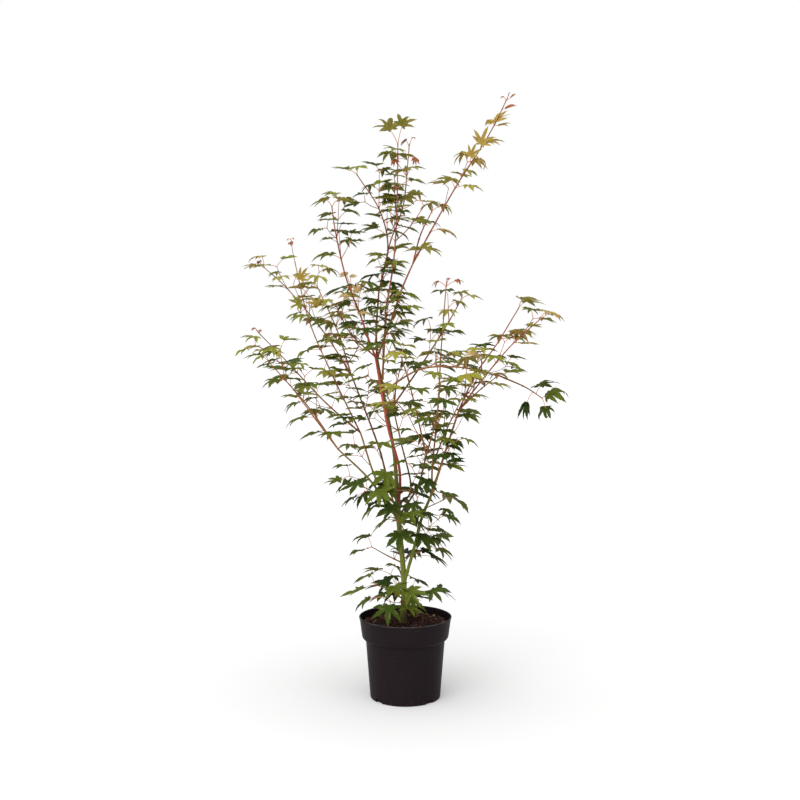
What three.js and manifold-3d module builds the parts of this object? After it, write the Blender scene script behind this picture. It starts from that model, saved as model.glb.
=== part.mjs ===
// A potted Japanese maple: a young upright shrub whose slender stems rise from one
// short trunk in a round plastic nursery pot filled with bark compost.
// Millimetres, +Z up, origin at the centre of the pot's flat underside, front at -Y.
import * as THREE from 'three';
import { mergeVertices } from 'three/addons/utils/BufferGeometryUtils.js';
import Module from 'manifold-3d';

const wasm = await Module();
wasm.setup();

// ---------------------------------------------------------------- driving sizes

// Nursery pot: a tapering body below a wider stacking collar.
const POT_HEIGHT = 168;
const RIM_RADIUS = 95;
const COLLAR_DEPTH = 41;
const COLLAR_FOOT_RADIUS = 89.5;
const STEP_DEPTH = 5;
const STEP_CORNER_RADIUS = 87;
const STEP_SLOPE = 1.2;
const BODY_TOP_RADIUS = 82;
const BODY_FOOT_RADIUS = 72.5;
const FOOT_ROUNDING = 4.5;
const POT_WALL = 1.8;
const FLOOR_THICKNESS = 3;
const POT_SEGMENTS = 36;

// Drain notches let through the bottom edge of the pot.
const NOTCH_COUNT = 4;
const NOTCH_WIDTH = 17;
const NOTCH_HEIGHT = 7;
const NOTCH_DEPTH = 9;
const FIRST_NOTCH_TURN = -48;

// Compost fills the pot to just below the rim.
const SOIL_TOP = 155;
const SOIL_CROWN = 1.5;
const CLEARANCE = 0.3;

// Wood: how the trunk flares at the soil and how finely each kind is faceted.
const FLARE_RADIUS = 4;
const FLARE_HEIGHT = 14;
const TRUNK_SIDES = 10;
const TRUNK_STEP = 30;
const LIMB_SIDES = 6;
const LIMB_STEP = 44;
const STEM_SIDES = 3;
const STEM_STEP = 60;
const STEM_FOOT_RADIUS = 2.5;
const STEM_TIP_RADIUS = 1.6;
const TWIG_FOOT_RADIUS = 1.9;
const TWIG_TIP_RADIUS = 1.5;

// Growth rule: buds sit in opposite pairs, each pair turned a quarter from the last.
const PAIR_TURN = 90;
const FIRST_PAIR = 0.45;
const SPACING_SPREAD = 0.12;
const TWIG_LENGTH = 72;
const TWIG_LENGTH_SPREAD = 16;
const TWIG_OPENING = 44;
const TWIG_LIFT = 0.16;
const TWIG_PAIRS = [0.5, 1];
const TWIG_LEAF_SHARE = 0.86;
const LEAF_OPENING = 58;
const LEAF_OPENING_SPREAD = 12;
const END_PAIR_OPENING = 40;
const STALK_SHARE = 0.46;
const STALK_SHARE_SPREAD = 0.1;
const DROOP_SPREAD = 13;
const ROLL_SPREAD = 22;
const SWING_SPREAD = 20;
const LENGTH_SPREAD = 0.13;
const OUTWARD_PULL = 0.35;

// Leaf: palmate, its lobes spread round the heart where the stalk meets the blade.
const LOBES = [[-92, 0.6], [-46, 0.88], [0, 1], [46, 0.88], [92, 0.6]];
const LOBE_NOTCH = 0.36;
const LEAF_MIDDLE = 0.16;
const LEAF_THICKNESS = 1.2;
const LEAF_SAG = 0.28;
const STALK_ROOT_RADIUS = 0.7;
const STALK_END_RADIUS = 0.8;

// Each limb: the limb it grows from, then stations of x, y, z and radius.
const LIMBS = {
  trunk: {
    stations: [[-5, 0, 150, 6.2], [-3, 0, 243, 5.6], [-15, 0, 384, 5.1], [-24, 0, 511, 3.4], [-58, 0, 702, 2.4]],
  },
  right_stem: {
    from: ['trunk'],
    stations: [[-3, 0, 236, 3.5], [18, -8, 311, 3.3], [33, -18, 373, 3], [56, -28, 432, 2.6]],
  },
  red_leader: {
    from: ['trunk'],
    stations: [[-15, 0, 381, 2.9], [-12, -13, 473, 2.7], [-37, -13, 567, 2.4], [-61, -13, 704, 2]],
  },
  bough_left_low: {
    from: ['trunk'],
    stations: [[-15, 0, 368, 2.5], [-72, -40, 456, 2.1], [-134, -80, 523, 1.6]],
  },
  bough_left: {
    from: ['trunk'],
    stations: [[-16, 0, 396, 2.6], [-58, 20, 444, 2.2], [-94, 50, 544, 1.7]],
  },
  bough_left_rear: {
    from: ['trunk'],
    stations: [[-16, 0, 420, 2.4], [-36, 30, 447, 2.2], [-59, 70, 521, 2], [-117, 130, 665, 1.6]],
  },
  bough_rear: {
    from: ['trunk'],
    stations: [[-15, 0, 398, 2.1], [12, 45, 428, 1.9], [-10, 90, 525, 1.6]],
  },
  bough_front: {
    from: ['trunk'],
    stations: [[-13, 0, 376, 2.1], [25, -45, 444, 1.9], [41, -80, 511, 1.6]],
  },
  bough_rear_right: {
    from: ['trunk'],
    stations: [[-36, 0, 588, 2], [25, 60, 673, 1.8], [65, 90, 732, 1.6]],
  },
  bough_arching: {
    from: ['trunk', 'red_leader'],
    stations: [[-42, 0, 636, 2], [29, -50, 680, 1.8], [108, -80, 685, 1.6], [186, -90, 668, 1.4]],
  },
  bough_centre: {
    from: ['trunk'],
    stations: [[-47, 0, 658, 2.1], [-42, -14, 749, 1.9], [-40, -10, 799, 1.7]],
  },
  bough_upper_left: {
    from: ['red_leader'],
    stations: [[-61, -13, 704, 2], [-76, -30, 745, 1.9], [-89, -45, 785, 1.6]],
  },
  bough_upper_rear: {
    from: ['trunk'],
    stations: [[-58, 0, 702, 2.3], [-60, 25, 759, 2], [-55, 45, 838, 1.7]],
  },
  bough_right_leader: {
    from: ['trunk', 'bough_upper_rear', 'bough_centre'],
    stations: [[-58, 0, 702, 2.2], [-30, -24, 775, 2], [-7, -45, 841, 1.8], [15, -60, 891, 1.5]],
  },
  bough_right: {
    from: ['right_stem'],
    stations: [[56, -28, 432, 2.5], [77, -60, 507, 2.2], [105, -90, 601, 1.8]],
  },
  bough_right_upright: {
    from: ['right_stem', 'bough_right'],
    stations: [[56, -28, 432, 2.2], [54, -26, 458, 2], [55, -26, 485, 1.8]],
  },
};

// Each mass: the limb its stem meets, the stem's way, the length of its first and
// last leaves, the space between its pairs of buds, the droop of its leaves in
// degrees, the share of buds that grow into side twigs, and its place on the plant.
const MASSES = {
  leaves_foot_front: {
    from: ['trunk'], way: [[-5, 0, 190], [-9, -25, 205], [-1, -48, 212]],
    leaves: [68, 60], spacing: 26, droop: 34, twigs: 0, seed: 25, tone: 'low',
  },
  leaves_foot_left: {
    from: ['trunk'], way: [[-5, 0, 203], [-32, -15, 226], [-62, -22, 238]],
    leaves: [72, 62], spacing: 30, droop: 30, twigs: 0, seed: 118, tone: 'low',
  },
  leaves_foot_right: {
    from: ['trunk'], way: [[-5, 0, 209], [22, -20, 222], [46, -34, 228]],
    leaves: [68, 60], spacing: 26, droop: 32, twigs: 0, seed: 2, tone: 'low',
  },
  leaves_foot_rear: {
    from: ['trunk'], way: [[-5, 0, 197], [6, 25, 208], [16, 50, 212]],
    leaves: [66, 58], spacing: 28, droop: 30, twigs: 0, seed: 58, tone: 'low',
  },
  leaves_low_left: {
    from: ['trunk'], way: [[-9, 0, 280], [-40, 22, 291], [-70, 36, 305]],
    leaves: [64, 58], spacing: 34, droop: 12, twigs: 0, seed: 53, tone: 'low',
  },
  leaves_low_right: {
    from: ['trunk'], way: [[-7, 0, 285], [24, 27, 296], [54, 48, 303]],
    leaves: [68, 62], spacing: 34, droop: 26, twigs: 0, seed: 131, tone: 'low',
  },
  leaves_low_front: {
    from: ['trunk'], way: [[-12, 0, 326], [-4, -32, 352], [-12, -60, 374]],
    leaves: [72, 70], spacing: 32, droop: 34, twigs: 0, seed: 131, tone: 'low',
  },
  leaves_mid_left: {
    from: ['trunk'], way: [[-15, 0, 388], [-48, -34, 422], [-84, -50, 443]],
    leaves: [70, 62], spacing: 30, droop: 42, twigs: 0, seed: 86, tone: 'low',
  },
  leaves_mid_front: {
    from: ['trunk'], way: [[-13, 0, 358], [-24, -36, 412], [-38, -74, 444]],
    leaves: [72, 64], spacing: 34, droop: 44, twigs: 0, seed: 90, tone: 'low',
  },
  leaves_mid_right: {
    from: ['trunk'], way: [[-13, 0, 362], [31, 36, 381], [78, 56, 400]],
    leaves: [74, 68], spacing: 36, droop: 34, twigs: 0, seed: 6, tone: 'low',
  },
  leaves_right_inner: {
    from: ['bough_right_upright'], way: [[55, -26, 485], [84, 18, 550], [119, 60, 616]],
    leaves: [61, 53], spacing: 46, droop: 22, twigs: 0.2, seed: 16, tone: 'mid',
  },
  leaves_front_left: {
    from: ['bough_front'], way: [[41, -80, 511], [14, -130, 628], [-8, -162, 706]],
    leaves: [59, 50], spacing: 54, droop: 18, twigs: 0.08, seed: 65, tone: 'mid',
  },
  leaves_front_right: {
    from: ['bough_front'], way: [[41, -80, 511], [59, -120, 584], [66, -168, 658]],
    leaves: [59, 52], spacing: 52, droop: 22, twigs: 0.15, seed: 12, tone: 'mid',
  },
  leaves_rear_centre: {
    from: ['bough_rear'], way: [[-10, 90, 525], [-24, 138, 600], [-8, 180, 690]],
    leaves: [61, 52], spacing: 50, droop: 18, twigs: 0.2, seed: 49, tone: 'mid',
  },
  leaves_left_low_outer: {
    from: ['bough_left_low'], way: [[-134, -80, 523], [-191, -110, 610], [-262, -138, 696]],
    leaves: [61, 50], spacing: 50, droop: 16, twigs: 0.04, seed: 104, tone: 'mid',
  },
  leaves_left_low_inner: {
    from: ['bough_left_low'], way: [[-134, -80, 523], [-179, -56, 579], [-230, -38, 645]],
    leaves: [59, 50], spacing: 48, droop: 16, twigs: 0, seed: 112, tone: 'mid',
  },
  leaves_left_outer: {
    from: ['bough_left'], way: [[-94, 50, 544], [-167, 40, 609], [-249, 12, 700], [-296, -6, 750]],
    leaves: [61, 46], spacing: 54, droop: 14, twigs: 0.1, seed: 42, tone: 'mid',
  },
  leaves_left_upper: {
    from: ['bough_left'], way: [[-94, 50, 544], [-153, 88, 660], [-206, 110, 781], [-236, 120, 905]],
    leaves: [59, 48], spacing: 58, droop: 16, twigs: 0.12, seed: 132, tone: 'mid',
  },
  leaves_rear_left_outer: {
    from: ['bough_left_rear'], way: [[-117, 130, 665], [-180, 165, 758], [-259, 195, 850], [-312, 208, 898]],
    leaves: [59, 46], spacing: 54, droop: 14, twigs: 0.1, seed: 92, tone: 'mid',
  },
  leaves_rear_left_upper: {
    from: ['bough_left_rear'], way: [[-117, 130, 665], [-150, 184, 760], [-196, 215, 858]],
    leaves: [57, 48], spacing: 52, droop: 16, twigs: 0.15, seed: 40, tone: 'mid',
  },
  leaves_left_middle: {
    from: ['red_leader', 'bough_upper_left'], way: [[-61, -13, 704], [-112, 16, 751], [-142, 44, 806]],
    leaves: [57, 48], spacing: 48, droop: 16, twigs: 0.2, seed: 22, tone: 'fresh',
  },
  leaves_upper_left: {
    from: ['bough_upper_left'], way: [[-89, -45, 785], [-117, -80, 861], [-135, -105, 942], [-142, -120, 995]],
    leaves: [57, 46], spacing: 50, droop: 18, twigs: 0, seed: 23, tone: 'fresh',
  },
  leaves_upper_left_centre: {
    from: ['bough_upper_rear'], way: [[-55, 45, 838], [-36, 28, 926], [-52, 8, 1001], [-98, -10, 1072]],
    leaves: [57, 46], spacing: 50, droop: 16, twigs: 0.14, seed: 151, tone: 'fresh',
  },
  leaves_upper_rear: {
    from: ['bough_upper_rear'], way: [[-55, 45, 838], [-30, 72, 947], [-4, 84, 1021], [8, 84, 1140]],
    leaves: [57, 46], spacing: 56, droop: 16, twigs: 0.08, seed: 41, tone: 'fresh',
  },
  leaves_top_centre: {
    from: ['bough_centre'], way: [[-40, -10, 799], [-24, -14, 897], [-17, 4, 1014], [-15, 14, 1178]],
    leaves: [59, 52], spacing: 56, droop: 14, twigs: 0.14, seed: 17, tone: 'fresh',
  },
  leaves_upper_right: {
    from: ['bough_right_leader'], way: [[15, -60, 891], [30, -26, 949], [54, -2, 1000]],
    leaves: [55, 46], spacing: 44, droop: 16, twigs: 0.1, seed: 146, tone: 'fresh',
  },
  leaves_top_right: {
    from: ['bough_right_leader'], way: [[15, -60, 891], [94, -100, 1030], [157, -125, 1127], [190, -140, 1192]],
    leaves: [54, 38], spacing: 48, droop: 16, twigs: 0, seed: 97, tone: 'gold',
  },
  leaves_right_upright: {
    from: ['bough_right_upright'], way: [[55, -26, 485], [66, -35, 608], [71, -40, 709], [81, -45, 845]],
    leaves: [59, 44], spacing: 50, droop: 18, twigs: 0.1, seed: 124, tone: 'mid',
  },
  leaves_right_low: {
    from: ['bough_right'], way: [[105, -90, 601], [142, -80, 636], [180, -56, 664]],
    leaves: [61, 52], spacing: 42, droop: 20, twigs: 0.1, seed: 126, tone: 'mid',
  },
  leaves_right_outer: {
    from: ['bough_right'], way: [[105, -90, 601], [136, -106, 671], [176, -130, 732], [215, -152, 800]],
    leaves: [61, 50], spacing: 48, droop: 18, twigs: 0.12, seed: 130, tone: 'fresh',
  },
  leaves_right_far: {
    from: ['bough_right'], way: [[105, -90, 601], [148, -126, 662], [200, -156, 728], [252, -180, 778]],
    leaves: [56, 44], spacing: 54, droop: 16, twigs: 0.08, seed: 35, tone: 'fresh',
  },
  leaves_rear_right: {
    from: ['bough_rear_right'], way: [[65, 90, 732], [96, 124, 781], [122, 146, 826]],
    leaves: [59, 48], spacing: 44, droop: 16, twigs: 0.15, seed: 17, tone: 'mid',
  },
  leaves_arching_tip: {
    from: ['bough_arching'], way: [[186, -90, 668], [236, -86, 646], [270, -80, 624]],
    leaves: [62, 58], spacing: 34, droop: 50, twigs: 0, seed: 6, tone: 'low',
  },
};

// Every mass keeps inside a sleeve of this radius round its own stem, and above the
// compost.
const MASS_REACH = 150;
const LOWEST_LEAF = SOIL_TOP + 4;

// ---------------------------------------------------------------- materials

const finish = (color, roughness) => new THREE.MeshStandardMaterial({ color, roughness, metalness: 0 });
const POT_FINISH = finish(0x292528, 0.55);
const SOIL_FINISH = finish(0x2e1a12, 0.95);
const TRUNK_FINISH = finish(0x6f7431, 0.7);
const BOUGH_FINISH = finish(0x8a4632, 0.6);
const LEAF_FINISHES = {
  low: finish(0x35501f, 0.5),
  mid: finish(0x5b752b, 0.5),
  fresh: finish(0x77852f, 0.5),
  gold: finish(0x9a8a3c, 0.5),
};

// ---------------------------------------------------------------- solid helpers

const WELD = 1e-4;
const DEG = THREE.MathUtils.DEG2RAD;
const UP = new THREE.Vector3(0, 0, 1);

/** A closed three.js geometry as a solid that can be joined and cut. */
function toSolid(geometry) {
  geometry.deleteAttribute('normal');
  geometry.deleteAttribute('uv');
  const welded = mergeVertices(geometry, WELD);
  const corners = welded.index.array;
  const triVerts = [];
  for (let i = 0; i < corners.length; i += 3) {
    const [a, b, c] = corners.slice(i, i + 3);
    if (a !== b && b !== c && c !== a) triVerts.push(a, b, c);
  }
  return new wasm.Manifold(new wasm.Mesh({
    numProp: 3,
    vertProperties: Float32Array.from(welded.attributes.position.array),
    triVerts: Uint32Array.from(triVerts),
  }));
}

/** A solid as a named three.js mesh. */
function toMesh(solid, name, material) {
  const { vertProperties, triVerts } = solid.getMesh();
  const geometry = new THREE.BufferGeometry();
  geometry.setAttribute('position', new THREE.BufferAttribute(vertProperties, 3));
  geometry.setIndex(new THREE.BufferAttribute(triVerts, 1));
  geometry.computeVertexNormals();
  const mesh = new THREE.Mesh(geometry, material);
  mesh.name = name;
  return mesh;
}

/** The largest body of a solid, without loose scraps and with sealed hollows filled. */
function wholeBody(solid) {
  const bodies = solid.decompose();
  return bodies.reduce((best, body) => (body.volume() > best.volume() ? body : best));
}

/** A smooth line through points given as [x, y, z]. */
function lineThrough(points) {
  const places = points.map(([x, y, z]) => new THREE.Vector3(x, y, z));
  return new THREE.CatmullRomCurve3(places, false, 'catmullrom', 0.5);
}

/** Level direction across a line: the same all along it, so that nothing twists. */
function levelAcross(line) {
  const chord = line.getPoint(1).sub(line.getPoint(0)).normalize();
  const across = new THREE.Vector3(-chord.y, chord.x, 0);
  return across.length() > 0.15 ? across.normalize() : new THREE.Vector3(1, 0, 0);
}

/** Place, direction and two crossing directions at a share of a line's length. */
function frameAt(line, share) {
  const place = line.getPointAt(share);
  const along = line.getTangentAt(share);
  const across = levelAcross(line).addScaledVector(along, -levelAcross(line).dot(along)).normalize();
  return { place, along, across, over: new THREE.Vector3().crossVectors(along, across) };
}

/** A round tapering limb along a line: a unit cylinder bent and thinned to it. */
function sweep(line, radiusAt, sides, stepLength) {
  const steps = Math.max(1, Math.round(line.getLength() / stepLength));
  const tube = new THREE.CylinderGeometry(1, 1, 1, sides, steps);
  const places = tube.attributes.position;
  for (let i = 0; i < places.count; i += 1) {
    const share = THREE.MathUtils.clamp(places.getY(i) + 0.5, 0, 1);
    const { place, across, over } = frameAt(line, share);
    const radius = radiusAt(share);
    place.addScaledVector(across, radius * places.getX(i));
    place.addScaledVector(over, -radius * places.getZ(i));
    places.setXYZ(i, place.x, place.y, place.z);
  }
  return toSolid(tube);
}

/** A straight tapering rod between two places. */
function rod(start, end, startRadius, endRadius, sides) {
  const reach = end.clone().sub(start);
  const geometry = new THREE.CylinderGeometry(endRadius, startRadius, reach.length(), sides, 1);
  geometry.translate(0, reach.length() / 2, 0);
  geometry.applyQuaternion(new THREE.Quaternion().setFromUnitVectors(
    new THREE.Vector3(0, 1, 0), reach.clone().normalize()));
  geometry.translate(start.x, start.y, start.z);
  return toSolid(geometry);
}

// ---------------------------------------------------------------- pot and compost

/** Radius of the pot's outside at a height, between two heights of known radius. */
function slope(height, low, lowRadius, high, highRadius) {
  return THREE.MathUtils.mapLinear(height, low, high, lowRadius, highRadius);
}

const COLLAR_FOOT = POT_HEIGHT - COLLAR_DEPTH;
const STEP_FOOT = COLLAR_FOOT - STEP_DEPTH;

/** The pot's outline from foot to rim, drawn in by an inset and raised by a lift. */
function potOutline(foot, inset, lift) {
  const bodyFoot = slope(foot, 0, BODY_FOOT_RADIUS, STEP_FOOT, BODY_TOP_RADIUS) - inset;
  return [
    new THREE.Vector2(bodyFoot, foot),
    new THREE.Vector2(BODY_TOP_RADIUS - inset, STEP_FOOT + lift),
    new THREE.Vector2(STEP_CORNER_RADIUS - inset, STEP_FOOT + STEP_SLOPE + lift),
    new THREE.Vector2(COLLAR_FOOT_RADIUS - inset, COLLAR_FOOT + lift),
    new THREE.Vector2(RIM_RADIUS - inset, POT_HEIGHT),
  ];
}

function makePot() {
  const outside = [
    new THREE.Vector2(0, 0),
    new THREE.Vector2(BODY_FOOT_RADIUS - FOOT_ROUNDING, 0),
    new THREE.Vector2(BODY_FOOT_RADIUS - 0.3 * FOOT_ROUNDING, 0.3 * FOOT_ROUNDING),
    ...potOutline(FOOT_ROUNDING, 0, 0),
  ];
  const inside = potOutline(FLOOR_THICKNESS, POT_WALL, 0).reverse();
  const profile = [...outside, ...inside, new THREE.Vector2(0, FLOOR_THICKNESS)];
  let pot = toSolid(new THREE.LatheGeometry(profile, POT_SEGMENTS).rotateX(Math.PI / 2));
  for (let i = 0; i < NOTCH_COUNT; i += 1) {
    const notch = new THREE.BoxGeometry(NOTCH_DEPTH, NOTCH_WIDTH, NOTCH_HEIGHT * 2);
    notch.translate(BODY_FOOT_RADIUS, 0, 0);
    notch.rotateZ(DEG * (FIRST_NOTCH_TURN + (i * 360) / NOTCH_COUNT));
    pot = pot.subtract(toSolid(notch));
  }
  return pot;
}

function makeSoil() {
  const floor = FLOOR_THICKNESS + CLEARANCE;
  const inset = POT_WALL + CLEARANCE;
  const side = potOutline(floor, inset, CLEARANCE).slice(0, -1);
  const edgeHeight = SOIL_TOP - SOIL_CROWN;
  const edge = slope(edgeHeight, COLLAR_FOOT, COLLAR_FOOT_RADIUS, POT_HEIGHT, RIM_RADIUS) - inset;
  const profile = [
    new THREE.Vector2(0, floor),
    ...side,
    new THREE.Vector2(edge, edgeHeight),
    new THREE.Vector2(edge * 0.8, SOIL_TOP),
    new THREE.Vector2(0, SOIL_TOP),
  ];
  return toSolid(new THREE.LatheGeometry(profile, POT_SEGMENTS).rotateX(Math.PI / 2));
}

// ---------------------------------------------------------------- trunk and boughs

/** A limb's radius at a share of its length, between the radii of its stations. */
function limbRadius(line, stations, share) {
  const position = line.getUtoTmapping(share) * (stations.length - 1);
  const index = Math.min(Math.floor(position), stations.length - 2);
  return THREE.MathUtils.lerp(stations[index][3], stations[index + 1][3], position - index);
}

/** A limb's solid, fattened by a margin where it is used to cut its neighbours clear. */
function limbSolid(name, margin) {
  const { stations } = LIMBS[name];
  const line = lineThrough(stations);
  const isTrunk = name === 'trunk';
  const radiusAt = (share) => {
    const height = line.getPointAt(share).z - SOIL_TOP;
    const flare = isTrunk ? FLARE_RADIUS * Math.exp(-Math.max(height, 0) / FLARE_HEIGHT) : 0;
    return limbRadius(line, stations, share) + flare + margin;
  };
  const [sides, step] = isTrunk ? [TRUNK_SIDES, TRUNK_STEP] : [LIMB_SIDES, LIMB_STEP];
  return sweep(line, radiusAt, sides, step);
}

/** All limbs, each cut clear of those it grows from, the trunk cut flat on the soil. */
function makeLimbs() {
  const limbs = {};
  for (const [name, { from = [] }] of Object.entries(LIMBS)) {
    let limb = limbSolid(name, 0);
    for (const carrier of from) limb = limb.subtract(limbCutter(carrier));
    limbs[name] = wholeBody(limb);
  }
  limbs.trunk = limbs.trunk.trimByPlane([0, 0, 1], SOIL_TOP + CLEARANCE);
  return limbs;
}

/** The room a limb needs: the limb fattened by the clearance at its sides and ends. */
function limbCutter(name) {
  const { stations } = LIMBS[name];
  const line = lineThrough(stations);
  const endCaps = [[0, stations[0][3]], [1, stations.at(-1)[3]]].map(([share, radius]) => {
    const reach = line.getTangentAt(share).multiplyScalar(CLEARANCE);
    const place = line.getPointAt(share);
    const width = radius + 2 * CLEARANCE;
    return rod(place.clone().sub(reach), place.clone().add(reach), width, width, LIMB_SIDES);
  });
  return wasm.Manifold.union([limbSolid(name, CLEARANCE), ...endCaps]);
}

// ---------------------------------------------------------------- growth rule

const draw = () => THREE.MathUtils.seededRandom();
const spread = (amount) => amount * (2 * draw() - 1);

/** Where one leaf sits: stalk root, heart of the blade, and the blade's directions. */
function leafPlace(root, along, side, size, droop, opening) {
  const open = DEG * (opening + spread(LEAF_OPENING_SPREAD));
  const stalk = size * (STALK_SHARE + spread(STALK_SHARE_SPREAD));
  const sag = DEG * (droop + spread(DROOP_SPREAD));
  const roll = DEG * spread(ROLL_SPREAD);
  const swing = DEG * spread(SWING_SPREAD);
  const length = size * (1 + spread(LENGTH_SPREAD));
  const way = along.clone().multiplyScalar(Math.cos(open)).addScaledVector(side, Math.sin(open));
  const heart = root.clone().addScaledVector(way, stalk);
  const heading = new THREE.Vector3(way.x + OUTWARD_PULL * along.x, way.y + OUTWARD_PULL * along.y, 0);
  heading.normalize().applyAxisAngle(UP, swing);
  const forward = heading.clone().multiplyScalar(Math.cos(sag)).addScaledVector(UP, -Math.sin(sag));
  const left = new THREE.Vector3().crossVectors(UP, heading).applyAxisAngle(forward, roll);
  return { root, heart, forward, left, length };
}

/** The two opposite leaves of one pair of buds. */
function leafPair(frame, turn, size, droop, opening) {
  return [0, Math.PI].map((half) => {
    const side = frame.across.clone().multiplyScalar(Math.cos(turn + half));
    side.addScaledVector(frame.over, Math.sin(turn + half));
    return leafPlace(frame.place, frame.along, side, size, droop, opening);
  });
}

/** A side twig: a short line that lifts a little, with a pair of leaves part way and
 * another at its end. */
function twigPlace(frame, side, size, droop) {
  const open = DEG * TWIG_OPENING;
  const length = TWIG_LENGTH + spread(TWIG_LENGTH_SPREAD);
  const way = frame.along.clone().multiplyScalar(Math.cos(open)).addScaledVector(side, Math.sin(open));
  const middle = frame.place.clone().addScaledVector(way, length / 2);
  const end = frame.place.clone().addScaledVector(way, length).addScaledVector(UP, TWIG_LIFT * length);
  const line = lineThrough([frame.place, middle, end].map((place) => place.toArray()));
  const leaves = TWIG_PAIRS.flatMap((share, index) => leafPair(
    frameAt(line, share), DEG * PAIR_TURN * index, size * TWIG_LEAF_SHARE, droop, LEAF_OPENING));
  return { line, leaves };
}

/** Everything that grows on a mass's stem: its leaves, and its twigs with theirs. */
function growth(mass, line) {
  THREE.MathUtils.seededRandom(mass.seed);
  const length = line.getLength();
  const pairs = Math.max(1, Math.floor(length / mass.spacing - FIRST_PAIR));
  const leaves = [];
  const twigs = [];
  for (let pair = 0; pair < pairs; pair += 1) {
    const distance = mass.spacing * (pair + FIRST_PAIR + spread(SPACING_SPREAD));
    const share = Math.min(distance / length, 1);
    const frame = frameAt(line, share);
    const size = THREE.MathUtils.lerp(mass.leaves[0], mass.leaves[1], share);
    const turn = DEG * (PAIR_TURN * pair + spread(SWING_SPREAD));
    for (const half of [0, Math.PI]) {
      const side = frame.across.clone().multiplyScalar(Math.cos(turn + half));
      side.addScaledVector(frame.over, Math.sin(turn + half));
      if (draw() < mass.twigs) twigs.push(twigPlace(frame, side, size, mass.droop));
      else leaves.push(leafPlace(frame.place, frame.along, side, size, mass.droop, LEAF_OPENING));
    }
  }
  leaves.push(...leafPair(frameAt(line, 1), DEG * PAIR_TURN * pairs, mass.leaves[1], mass.droop,
    END_PAIR_OPENING));
  return { leaves, twigs };
}

// ---------------------------------------------------------------- leaves and masses

/** The blade's outline round its heart, as [forward, left, up] shares of its length. */
function bladeOutline() {
  const polar = (turn, reach) => [
    reach * Math.cos(DEG * turn), reach * Math.sin(DEG * turn), -LEAF_SAG * reach * reach];
  const outline = [];
  LOBES.forEach(([turn, reach], index) => {
    outline.push(polar(turn, reach));
    const next = LOBES[index + 1];
    if (next) outline.push(polar((turn + next[0]) / 2, LOBE_NOTCH));
  });
  return outline;
}

const BLADE_OUTLINE = bladeOutline();

/** Places given as [forward, left, up] shares of a leaf's length, on the plant. */
function onLeaf({ heart, forward, left, length }, shares) {
  const up = new THREE.Vector3().crossVectors(forward, left);
  return shares.map(([x, y, z]) => heart.clone()
    .addScaledVector(forward, x * length)
    .addScaledVector(left, y * length)
    .addScaledVector(up, z * length));
}

/** A leaf in one piece: a thin blade, thickest in the middle, whose heel narrows into a
 * three-sided stalk. Its faces fan out from the middle of each side of the blade. */
function makeLeaf(leaf) {
  const half = LEAF_THICKNESS / 2 / leaf.length;
  const heel = STALK_END_RADIUS / leaf.length;
  const [top, bottom] = onLeaf(leaf, [[LEAF_MIDDLE, 0, half], [LEAF_MIDDLE, 0, -half]]);
  const heels = onLeaf(leaf, [[0, heel, half], [0, -heel, half]]);
  const rim = [...onLeaf(leaf, BLADE_OUTLINE), ...heels];
  const stalkWay = leaf.heart.clone().sub(leaf.root).normalize();
  const across = leaf.left.clone().addScaledVector(stalkWay, -leaf.left.dot(stalkWay)).normalize();
  const over = new THREE.Vector3().crossVectors(stalkWay, across);
  const [left, right, under] = [[0.87, 0.5], [-0.87, 0.5], [0, -1]].map(([x, y]) => leaf.root.clone()
    .addScaledVector(across, x * STALK_ROOT_RADIUS)
    .addScaledVector(over, y * STALK_ROOT_RADIUS));
  const faces = rim.flatMap((corner, index) => {
    const next = rim[(index + 1) % rim.length];
    const isHeel = index === rim.length - 2;
    return isHeel ? [top, corner, next] : [top, corner, next, bottom, next, corner];
  });
  const [heelLeft, heelRight] = heels;
  faces.push(left, right, heelRight, left, heelRight, heelLeft);
  faces.push(right, under, bottom, right, bottom, heelRight);
  faces.push(under, left, heelLeft, under, heelLeft, bottom);
  faces.push(left, under, right);
  return toSolid(new THREE.BufferGeometry().setFromPoints(faces));
}

/** Whether two bounding boxes come within the clearance of each other. */
function boxesNear(one, other) {
  return [0, 1, 2].every((axis) => one.min[axis] - CLEARANCE < other.max[axis]
    && other.min[axis] - CLEARANCE < one.max[axis]);
}

/** Whether a solid keeps the clearance to all the others given. */
function isClear(solid, others) {
  const box = solid.boundingBox();
  return others.every((other) => !boxesNear(box, other.box)
    || other.solid.minGap(solid, 2 * CLEARANCE) >= CLEARANCE);
}

const withBox = (solid) => ({ solid, box: solid.boundingBox() });

/** Whether a leaf keeps inside its mass's sleeve and above the compost. */
function isInside(leaf, stemPlaces) {
  return onLeaf(leaf, BLADE_OUTLINE).every((corner) => corner.z > LOWEST_LEAF
    && stemPlaces.some((place) => place.distanceTo(corner) < MASS_REACH));
}

/** One mass: its stem, then each twig and leaf that has room, all fused into one body. */
function makeMass(stem, line, plan, others) {
  const stemPlaces = line.getSpacedPoints(12);
  const pieces = [stem];
  const addLeaf = (place) => {
    if (!isInside(place, stemPlaces)) return;
    const leaf = makeLeaf(place);
    if (isClear(leaf, others)) pieces.push(leaf);
  };
  plan.leaves.forEach(addLeaf);
  for (const twig of plan.twigs) {
    const radiusAt = (share) => THREE.MathUtils.lerp(TWIG_FOOT_RADIUS, TWIG_TIP_RADIUS, share);
    const wood = sweep(twig.line, radiusAt, STEM_SIDES, STEM_STEP);
    if (isClear(wood, others)) {
      pieces.push(wood);
      twig.leaves.forEach(addLeaf);
    }
  }
  return wholeBody(wasm.Manifold.union(pieces));
}

/** The part of a solid that lies past a plane through a place. */
function pastPlane(solid, place, direction, margin) {
  return solid.trimByPlane(direction.toArray(), direction.dot(place) + margin);
}

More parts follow.
